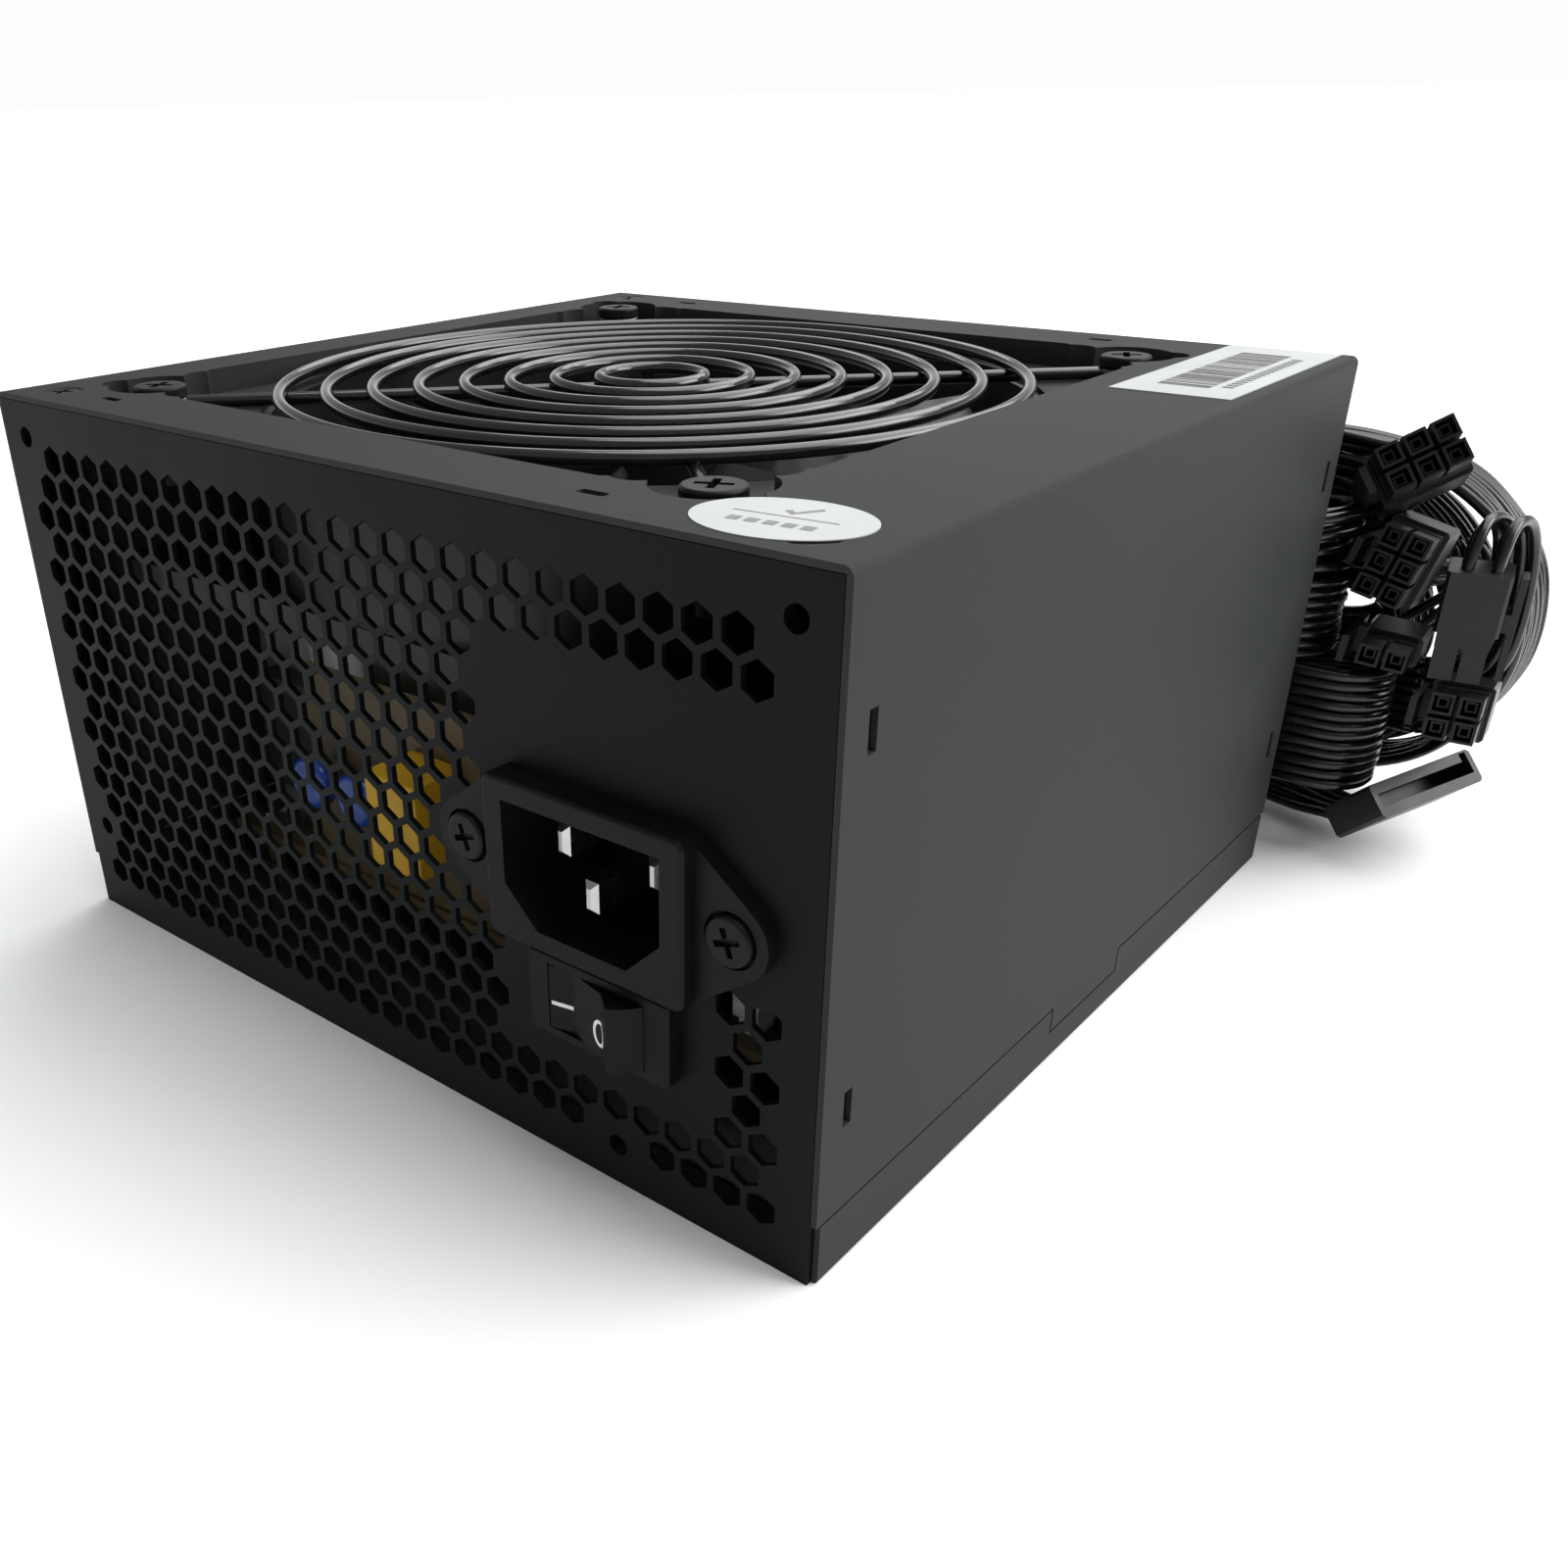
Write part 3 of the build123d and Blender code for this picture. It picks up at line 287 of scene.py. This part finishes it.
def wander(along, rng, size):
    """A small smooth stray from a straight run, different for each wire."""
    total = np.zeros(len(along))
    for wave in WAVES:
        height = math.sin(rng.uniform(0, FULL_TURN))
        total += height * np.sin(along / wave * FULL_TURN + rng.uniform(0, FULL_TURN))
    return total * size / WAVES_REACH


def add_tube(verts, faces, centre, route):
    """One round wire along its centreline, closed at both ends."""
    turn = np.linspace(0, 2 * math.pi, SIDES, endpoint=False)
    ring = (route.wide[:, None, :] * np.cos(turn)[None, :, None]
            + route.face[:, None, :] * np.sin(turn)[None, :, None]) * WIRE_R
    first, count = len(verts), len(centre)
    verts.extend((centre[:, None, :] + ring).reshape(-1, 3).tolist())
    for i in range(count - 1):
        low, high = first + i * SIDES, first + (i + 1) * SIDES
        for j in range(SIDES):
            after = (j + 1) % SIDES
            faces.append((low + j, low + after, high + after, high + j))
    faces.append([first + j for j in reversed(range(SIDES))])
    faces.append([first + (count - 1) * SIDES + j for j in range(SIDES)])


def bundle(name, routes, seed):
    """One mesh of round wires. Each entry has a route, the wires' layout at its start and, where that
    differs, at its end, over what length it changes, how far wires wander, and which ones come loose."""
    rng = random.Random(seed)
    verts, faces = [], []
    for entry in routes:
        route, start, end = entry["route"], entry["start"], entry.get("end", entry["start"])
        stray, raised = entry.get("stray", STRAY), entry.get("lift", RAISE)
        change_from = route.length - entry.get("over", CHANGE_OVER)
        share = eased((route.along - change_from) / max(route.length - change_from, 1e-6))
        fade = np.minimum(1, np.minimum(route.along, route.length - route.along) / FADE_OVER)
        for k, (a, b) in enumerate(zip(start, end)):
            u = a[0] + (b[0] - a[0]) * share + wander(route.along, rng, stray) * fade
            v = a[1] + (b[1] - a[1]) * share + wander(route.along, rng, raised) * fade
            for place, grown in entry.get("loose", {}).get(k, ()):
                near = np.exp(-(((route.along - place[0]) / place[1]) ** 2))
                u = u + grown[0] * near
                v = v + grown[1] * near
            centre = route.line + route.wide * u[:, None] + route.face * v[:, None]
            add_tube(verts, faces, centre, route)
    mesh = bpy.data.meshes.new(name)
    mesh.from_pydata(verts, [], faces)
    mesh.polygons.foreach_set("use_smooth", [len(f) == 4 for f in faces])
    mesh.materials.append(MATERIALS["cable_sheath"])
    obj = add_object(name, mesh)
    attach(obj, "case")
    return obj


def arc(cx, cy, radius, start, stop, step, z):
    """Stations round an upright axis, for a ribbon standing on its edge."""
    count = round(abs(stop - start) / step)
    found = []
    for k in range(count + 1):
        a = math.radians(start + (stop - start) * k / count)
        found.append((cx + radius * math.cos(a), cy + radius * math.sin(a), z, UP))
    return found


# The wide cable: two twelve-wire ribbons, wound twice round an upright axis, the upper turn first.
OUTER_R, INNER_R = 0.0082, 0.0058
UPPER_Z, LOWER_Z = 0.0454, 0.0238
MID_Y, LEFT_X, UPPER_X, LOWER_X = 0.085, -0.011, 0.068, 0.079


def wound(radius, inward):
    """Stations of both turns, ending inside the winding under the plug that stands on it."""
    near, far = MID_Y - radius, MID_Y + radius
    return [
        (LEFT_X, near, UPPER_Z, UP), (0.015, near, UPPER_Z, UP), (0.042, near, UPPER_Z, UP),
        *arc(UPPER_X, MID_Y, radius, -90, 90, 30, UPPER_Z),
        (0.055, far, 0.0452, UP), (0.030, far, 0.038, UP), (0.008, far, 0.029, UP),
        (LEFT_X, far, 0.024, UP),
        *arc(LEFT_X, MID_Y, radius, 120, 240, 30, LOWER_Z),
        (LEFT_X, near, LOWER_Z, UP), (0.018, near, LOWER_Z, UP), (0.050, near, LOWER_Z, UP),
        *arc(LOWER_X, MID_Y, radius, -90, 90, 30, LOWER_Z),
        (0.074, far - 0.0010, LOWER_Z, UP), (0.068, inward, LOWER_Z, UP), (0.056, inward, LOWER_Z, UP),
        (0.046, inward, 0.0265, (0.5, 0, 0.86)), (0.0415, inward, 0.0355, (0.94, 0, 0.3)),
        (0.040, inward, 0.047, ALONG), (0.040, (inward + MID_Y) / 2, 0.0605, ALONG),
    ]


outer_route = Route([
    (-0.0374, 0.068, 0.045, UP), (-0.0374, 0.0755, 0.045, UP), (-0.0325, 0.0768, 0.0452, UP),
    (-0.022, 0.0768, 0.0454, UP), *wound(OUTER_R, 0.0876)])
inner_route = Route([
    (-0.0400, 0.068, 0.045, UP), (-0.0400, 0.0775, 0.045, UP), (-0.0350, 0.0792, 0.0452, UP),
    (-0.022, 0.0792, 0.0454, UP), *wound(INNER_R, 0.0852)])

FAN_LENGTH = 0.024
TWELVE = flat_layout(12)
SOCKET_ROW = [((k - 5.5) * SOCKET, 0.0) for k in range(12)]
BETWEEN_TURNS_Z = 0.04
LOOSE_OVER = 0.018
LOOSE_WIRES = {11: (4.6, 1.2), 10: (3.4, 0.4), 9: (2.0, -0.8), 8: (1.2, 0.3)}  # up and out, in mm


def loose_top(route):
    """The top wires of the upper turn lift a little off the ribbon at its free end."""
    upper_x = np.where(route.line[:, 2] > BETWEEN_TURNS_Z, route.line[:, 0], -1)
    at = float(route.along[np.argmax(upper_x)])
    return {k: [((at, LOOSE_OVER), (up * MM, out * MM))] for k, (up, out) in LOOSE_WIRES.items()}


fans = []
for name, route, seed in (("main_ribbon_outer", outer_route, 3), ("main_ribbon_inner", inner_route, 4)):
    body = route.part(0, route.length - FAN_LENGTH)
    fans.append({"route": route.part(body.length, route.length), "start": TWELVE, "end": SOCKET_ROW,
                 "over": FAN_LENGTH, "stray": 0.0, "lift": 0.0})
    ribbon = bundle(name, [{"route": body, "start": TWELVE, "loose": loose_top(body)}], seed)
main_fan = bundle("main_wire_fan", fans, 5)
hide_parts("main_lead_inner", "main_cable_hank")
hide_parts("main_lead_outer")

# The three power cables loop round an axis along Y, one outside the other.
LOOP_Z, LOOP_LEFT_X, LOOP_RIGHT_X, LOOP_Y = 0.0350, 0.020, 0.073, 0.110
TURN_IN = 0.0078  # how much smaller a cable's loop gets in one turn
STATIONS = ([(LOOP_LEFT_X, 90), (0.037, 90), (0.055, 90)]
            + [(LOOP_RIGHT_X, a) for a in range(90, -91, -30)] + [(0.055, -90), (0.037, -90)]
            + [(LOOP_LEFT_X, a) for a in (-90, -120, -150, -180, -210, -240)])
LEAN_DEG, OUTER_LEAN_DEG = 26.0, 2.0
LOOP_SWELL = 1.015
UNEVEN, UNEVEN_RATE = 0.25 * MM, 1.7
SHOULDER_IN, SHOULDER_DEG, END_IN = 5.4 * MM, 38, 2.4 * MM
LOOP_STRAY = 0.7


def looped(radius, first, last, pull, seed):
    """Stations of a cable round the loop. At the loop's right end the cable leans back, and all turns
    after the first, or with pull all turns, are drawn in."""
    rng = random.Random(seed)
    found = []
    for k in range(first, last + 1):
        cx, degrees = STATIONS[k % len(STATIONS)]
        a = math.radians(degrees)
        r = LOOP_SWELL * (radius - TURN_IN * k / len(STATIONS)) + UNEVEN * math.sin(UNEVEN_RATE * k)
        lean = 0.0
        if cx == LOOP_RIGHT_X:
            inside = k >= len(STATIONS) or pull
            lean = math.radians(LEAN_DEG if inside else OUTER_LEAN_DEG) * math.cos(a) ** 0.8
            if inside:
                shoulder = max(0.0, math.cos(a - math.radians(SHOULDER_DEG)))
                r -= SHOULDER_IN * shoulder ** 2 + END_IN * math.cos(a)
        radial = (math.cos(a), 0, math.sin(a))
        width = (radial[0] * math.sin(lean), math.cos(lean), radial[2] * math.sin(lean))
        y = LOOP_Y + rng.uniform(-LOOP_STRAY, LOOP_STRAY) * MM
        found.append((cx + r * radial[0], y, LOOP_Z + r * radial[2], width))
    return found


pcie_route = Route([
    (-0.0426, 0.068, 0.045, UP), (-0.0426, 0.0885, 0.045, UP), (-0.0405, 0.103, 0.046, (0, 0.3, 1)),
    (-0.032, 0.1095, 0.0474, (0, 0.8, 0.6)), (-0.023, 0.110, 0.0478, ACROSS), (-0.015, 0.110, 0.0495, ACROSS),
    (-0.0105, 0.110, 0.0555, ACROSS), (-0.004, 0.110, 0.0612, ACROSS), (0.008, 0.110, 0.0662, ACROSS),
    *looped(0.0318, 0, 21, False, 31),
    (0.0826, 0.1095, 0.0530, ACROSS), (0.0872, 0.1075, 0.0490, (0.7, 0.7, 0)),
    (0.0876, 0.1035, 0.0468, (1, 0.2, 0)), (0.0851, 0.0990, 0.0464, ALONG),
    (0.08405, 0.0955, 0.0463, ALONG), (0.08395, 0.0925, 0.0463, ALONG)])
cpu_route = Route([
    (-0.0452, 0.068, 0.045, UP), (-0.0452, 0.09125, 0.045, UP), (-0.0425, 0.1055, 0.045, (0, 0.3, 1)),
    (-0.033, 0.110, 0.045, (0, 0.8, 0.6)), (-0.022, 0.110, 0.0452, ACROSS), (-0.0133, 0.110, 0.0468, ACROSS),
    (-0.0082, 0.110, 0.0536, ACROSS), (-0.0018, 0.110, 0.0590, ACROSS), (0.0092, 0.110, 0.0636, ACROSS),
    *looped(0.0292, 0, 18, True, 32),
    (0.034, 0.1095, 0.0570, ACROSS), (0.0445, 0.1070, 0.0545, (0.3, 0.9, 0.2)),
    (0.0475, 0.1045, 0.0500, (0.7, 0.7, 0)), (0.0470, 0.1020, 0.0410, (1, 0.2, 0.1)),
    (0.0500, 0.0995, 0.0330, (0.7, 0, 0.7)), (0.060, 0.0985, 0.0282, (0.2, 0, 1)),
    (0.074, 0.0978, 0.0266, UP), (0.084, 0.0975, 0.0262, UP), (0.0895, 0.0974, 0.0262, UP)])
drive_route = Route([
    (-0.0478, 0.068, 0.045, UP), (-0.0478, 0.09375, 0.045, UP), (-0.045, 0.108, 0.044, (0, 0.3, 1)),
    (-0.034, 0.1105, 0.0427, (0, 0.8, 0.6)), (-0.021, 0.110, 0.0426, ACROSS),
    (-0.0116, 0.110, 0.0442, ACROSS),
    (-0.0059, 0.110, 0.0518, ACROSS), (0.0004, 0.110, 0.0568, ACROSS), (0.0104, 0.110, 0.0610, ACROSS),
    *looped(0.0266, 0, 35, True, 33),
    (0.0200, 0.112, 0.0478, ACROSS), (0.029, 0.1145, 0.0492, (0.3, 0.7, 0.6)),
    (0.040, 0.1165, 0.0490, (0.3, 0, 1)),
    (0.054, 0.1164, 0.0458, UP), (0.068, 0.1163, 0.0443, UP), (0.078, 0.1165, 0.0415, (0.6, 0, 0.8)),
    (0.0805, 0.1168, 0.0355, ALONG), (0.074, 0.1168, 0.0292, (-0.5, 0, 0.8)), (0.058, 0.1168, 0.0290, UP),
    (0.042, 0.1167, 0.0310, UP), (0.028, 0.1166, 0.0320, UP), (0.017, 0.1135, 0.0315, (0.2, 0.1, 1)),
    (0.0120, 0.1065, 0.0290, (0.7, 0, 0.7)), (0.0130, 0.0995, 0.0220, (1, 0, 0.2)),
    (0.0190, 0.0983, 0.0120, (0.6, 0, 0.8)),
    (0.034, 0.0980, 0.0070, UP), (0.054, 0.0975, 0.0062, UP), (0.070, 0.0955, 0.0052, (0, 0.5, 0.85)),
    (0.0800, 0.0930, 0.0036, (0.3, 0.9, 0.1)), (0.0860, 0.0908, 0.0048, (0.45, 0.88, 0.14)),
    (0.0893, 0.0889, 0.0080, (0.45, 0.88, 0.14)), (0.0902, 0.0882, 0.0090, (0.45, 0.88, 0.14))])

EIGHT, SIX, FIVE, FOUR = flat_layout(8), flat_layout(6), flat_layout(5), flat_layout(4)
HALF = SOCKET / 2
SIX_TWO = [(side, rise) for rise in (0.0088, 0.0046, 0.0004, -0.0092) for side in (-HALF, HALF)]
pcie_ribbon = bundle("pcie_ribbon", [{"route": pcie_route, "start": EIGHT, "end": SIX_TWO,
                                      "over": 0.016}], 11)
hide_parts("pcie_lead", "loop_hank")

split = cpu_route.line[-1]
facing_route = Route([
    (split[0], split[1], split[2] - 2 * WIRE, UP), (0.0935, 0.0978, 0.0235, UP),
    (0.0975, 0.0995, 0.0250, UP), (0.0985, 0.0978, 0.0276, (-0.4, 0, 1)),
    (0.0974, 0.0950, 0.0277, (-0.05, 0.15, 1)), (0.0976, 0.0925, 0.0280, UP)])
PAIR = [(-HALF, -HALF), (-HALF, HALF), (HALF, -HALF), (HALF, HALF)]
SMALL = {"stray": 0.05 * MM, "lift": 0.1 * MM}
cpu_ribbon = bundle("cpu_ribbon", [{"route": cpu_route, "start": EIGHT}], 12)
cpu_splay = bundle("cpu_wire_splay", [{"route": facing_route, "start": FOUR, "end": PAIR,
                                       "over": 0.012, **SMALL}], 21)
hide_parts("cpu_lead")

DRIVE_END = [((k - 2) * 3.3 * MM, 0.0) for k in range(5)]
drive_ribbon = bundle("drive_ribbon", [{"route": drive_route, "start": FIVE, "end": DRIVE_END, "over": 0.012,
                                        "lift": 0.1 * MM, "stray": 0.05 * MM}], 13)
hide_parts("drive_lead")

# Short branches, each leaving a longer cable or its plug.
hanging_route = Route([
    (split[0], split[1], split[2] + 2 * WIRE, UP), (0.0940, 0.0976, 0.0305, UP),
    (0.0985, 0.0990, 0.0340, (-0.6, 0, 0.8)), (0.0990, 0.0998, 0.0430, (-1, 0, 0.1)),
    (0.0982, 0.0985, 0.0540, (-1, 0, 0)), (0.0974, 0.0930, 0.0600, (-1, 0, 0)),
    (0.0966, 0.0855, 0.0600, (-1, -0.2, 0)), (0.0964, 0.0835, 0.0550, (-1, -0.2, 0)),
    (0.0964, 0.0835, 0.0510, (-1, -0.2, 0))])
branch_route = Route([
    (0.08375, 0.0928, 0.0511, (0.235, 0.16, 0.95)), (0.0835, 0.0980, 0.0509, (0.2, 0, 1)),
    (0.0790, 0.1005, 0.0512, (0.1, 0, 1)), (0.070, 0.1003, 0.0515, UP), (0.060, 0.0998, 0.0520, UP),
    (0.0505, 0.0994, 0.0530, (0.3, 0, 0.95)), (0.0455, 0.0990, 0.0580, (0.95, 0, 0.3)),
    (0.0505, 0.0985, 0.0632, (-0.3, 0, 0.95)), (0.060, 0.0982, 0.0648, UP),
    (0.070, 0.0982, 0.0640, UP), (0.0769, 0.0965, 0.0634, (0.1, 0.3, 1)),
    (0.0807, 0.0927, 0.0642, (0.1, 0.4, 0.9)),
    (0.0816, 0.0897, 0.0656, (0.1, 0.4, 0.9))])
TWO_THREE = [(-SOCKET, -HALF), (-SOCKET, HALF), (0.0, -HALF), (0.0, HALF), (SOCKET, -HALF), (SOCKET, HALF)]
cpu_hanging = bundle("cpu_branch_hanging", [{"route": hanging_route, "start": FOUR, "end": PAIR,
                                             "over": 0.02, **SMALL}], 22)
pcie_branch = bundle("pcie_branch", [{"route": branch_route, "start": SIX, "end": TWO_THREE,
                                      "over": 0.02, **SMALL}], 23)


# ---- printed marks ------------------------------------------------------------------------
def flat_marks(name, outlines, material, body):
    """Thin flat shapes, each given by its corners in order."""
    verts, faces = [], []
    for outline in outlines:
        first = len(verts)
        verts.extend(outline)
        faces.append(list(range(first, first + len(outline))))
    mesh = bpy.data.meshes.new(name)
    mesh.from_pydata(verts, [], faces)
    mesh.materials.append(material)
    obj = add_object(name, mesh)
    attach(obj, body)
    return obj


LIFT = 0.03 * MM
BAR_NEAR, BAR_FAR, BAR_MARGIN = 4.2 * MM, 11.6 * MM, 6.5 * MM
BAR_WIDTHS, BAR_GAPS = (0.25, 0.4, 0.6, 0.85), (0.3, 0.45, 0.7)
DASH_NEAR, DASH_FAR, DASH_WIDE, DASH_STEP = 12.7 * MM, 14.3 * MM, 0.9 * MM, 1.7 * MM
DASH_START, DASH_STOP = 8.0 * MM, 9.0 * MM


def barcode():
    """Bars, and a row of plain dashes where a real label has its number."""
    low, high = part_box("barcode_label")
    rng = random.Random(7)
    top = high.z + LIFT
    shapes = []

    def block(x0, x1, y0, y1):
        shapes.append([(x0, y0, top), (x1, y0, top), (x1, y1, top), (x0, y1, top)])

    y = low.y + BAR_MARGIN
    while y < high.y - BAR_MARGIN:
        wide = rng.choice(BAR_WIDTHS) * MM
        block(low.x + BAR_NEAR, low.x + BAR_FAR, y, y + wide)
        y += wide + rng.choice(BAR_GAPS) * MM
    y = low.y + DASH_START
    while y < high.y - DASH_STOP:
        block(low.x + DASH_NEAR, low.x + DASH_FAR, y, y + DASH_WIDE)
        y += DASH_STEP
    return flat_marks("barcode_print", shapes, INK, "case")


barcode()


DASH_X, DASH_Z, DASH_LONG, DASH_TALL, DASH_PARTS = 0.0370, 0.0256, 0.0031, 0.00055, 12
RING_X, RING_Z, RING_HALF_WIDE, RING_HALF_TALL = 0.0455, 0.0250, 0.0013, 0.0019
RING_STROKE, RING_PARTS = 0.0005, 32
RAY_FROM_Y = -0.09  # well in front of the rocker


def rocker_marks():
    """The dash and the ring for on and off, laid on the rocker's own faces."""
    rocker = nodes["switch_rocker"]
    tree = BVHTree.FromPolygons([rocker.matrix_world @ v.co for v in rocker.data.vertices],
                                [tuple(p.vertices) for p in rocker.data.polygons])

    def on_face(x, z):
        hit = tree.ray_cast(Vector((x, RAY_FROM_Y, z)), Vector((0, 1, 0)))[0]
        return (x, hit.y - LIFT, z)

    quads = []
    low_z, high_z = DASH_Z - DASH_TALL / 2, DASH_Z + DASH_TALL / 2
    for k in range(DASH_PARTS):
        x0, x1 = DASH_X + DASH_LONG * k / DASH_PARTS, DASH_X + DASH_LONG * (k + 1) / DASH_PARTS
        quads.append([on_face(x0, low_z), on_face(x1, low_z), on_face(x1, high_z), on_face(x0, high_z)])
    for k in range(RING_PARTS):
        a, b = 2 * math.pi * k / RING_PARTS, 2 * math.pi * (k + 1) / RING_PARTS
        corners = []
        for angle, inset in ((a, 0), (b, 0), (b, RING_STROKE), (a, RING_STROKE)):
            corners.append(on_face(RING_X + (RING_HALF_WIDE - inset) * math.cos(angle),
                                   RING_Z + (RING_HALF_TALL - inset) * math.sin(angle)))
        quads.append(corners)
    return flat_marks("rocker_print", quads, WHITE_PRINT, "rocker")


rocker_marks()


STICKER_TURN_DEG = 6.0
SQUARES, SQUARE_X, SQUARE_STEP, SQUARE_WIDE = 5, -5.0, 2.1, 1.4  # across the sticker, in mm
SQUARE_LOW, SQUARE_HIGH = -3.0, -1.6


def sticker_marks():
    """A tick, a line and a row of squares, in place of the words on an inspection sticker."""
    low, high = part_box("qc_label")
    cx, cy, top = (low.x + high.x) / 2, (low.y + high.y) / 2, high.z + LIFT
    turn = math.radians(STICKER_TURN_DEG)

    def put(points):
        return [(cx + x * MM * math.cos(turn) - y * MM * math.sin(turn),
                 cy + x * MM * math.sin(turn) + y * MM * math.cos(turn), top) for x, y in points]

    shapes = [put([(-1.2, 2.6), (-0.6, 3.1), (0.1, 2.3), (0.1, 1.5)]),
              put([(0.1, 1.5), (0.1, 2.3), (2.0, 4.8), (2.5, 4.4)]),
              put([(-6.0, 0.4), (6.0, 0.4), (6.0, 0.65), (-6.0, 0.65)])]
    for k in range(SQUARES):
        x0 = SQUARE_X + SQUARE_STEP * k
        x1 = x0 + SQUARE_WIDE
        shapes.append(put([(x0, SQUARE_LOW), (x1, SQUARE_LOW), (x1, SQUARE_HIGH), (x0, SQUARE_HIGH)]))
    return flat_marks("sticker_print", shapes, STICKER_INK, "case")


sticker_marks()


# ---- stage --------------------------------------------------------------------------------
FLOOR_HALF = 30.0


def floor():
    """A wide plain floor, nearly white."""
    corners = [(x * FLOOR_HALF, y * FLOOR_HALF, 0) for x, y in ((-1, -1), (1, -1), (1, 1), (-1, 1))]
    mesh = bpy.data.meshes.new("floor")
    mesh.from_pydata(corners, [], [(0, 1, 2, 3)])
    material, tree, shader = new_material("floor_white")
    cloud = noise_value(tree, 3.0)
    tree.links.new(ramp(tree, cloud, grey(0.93), grey(0.95)), shader.inputs["Base Color"])
    shader.inputs["Roughness"].default_value = 0.9
    mesh.materials.append(material)
    add_object("floor", mesh)


floor()


def soft_light(name, place, target, size, power):
    """A rectangular light at one place, aimed at another."""
    data = bpy.data.lights.new(name, "AREA")
    data.shape = "RECTANGLE"
    data.size, data.size_y = size
    data.energy = power
    obj = add_object(name, data)
    obj.location = place
    obj.rotation_euler = (Vector(target) - Vector(place)).to_track_quat("-Z", "Y").to_euler()


def sun(name, direction, strength, softness):
    """Light from one direction, softened over an angle in degrees."""
    data = bpy.data.lights.new(name, "SUN")
    data.energy = strength
    data.angle = math.radians(softness)
    obj = add_object(name, data)
    obj.rotation_euler = Vector(direction).to_track_quat("-Z", "Y").to_euler()


sun("overhead", (-0.25, -0.45, -1.0), 3.4, 70)
soft_light("key", (0.9, 0.5, 0.55), (0.05, 0.0, 0.04), (0.8, 0.5), 8)
soft_light("rim", (-0.35, 0.8, 0.6), (0.0, 0.05, 0.08), (0.9, 0.35), 2)


def studio_world():
    """Bright near the horizon, like the wall of a studio, and dimmer overhead."""
    world = bpy.data.worlds.new("studio")
    world.use_nodes = True
    tree = world.node_tree
    where = tree.nodes.new("ShaderNodeTexCoord")
    split_axes = tree.nodes.new("ShaderNodeSeparateXYZ")
    tree.links.new(where.outputs["Generated"], split_axes.inputs["Vector"])
    shade = ramp(tree, split_axes.outputs["Z"], (0.98, 0.98, 0.98), (0.30, 0.31, 0.32), 0.08, 0.22)
    tree.links.new(shade, tree.nodes["Background"].inputs["Color"])
    tree.nodes["Background"].inputs["Strength"].default_value = 1.0
    bpy.context.scene.world = world


studio_world()
bpy.context.scene.view_settings.view_transform = "Standard"
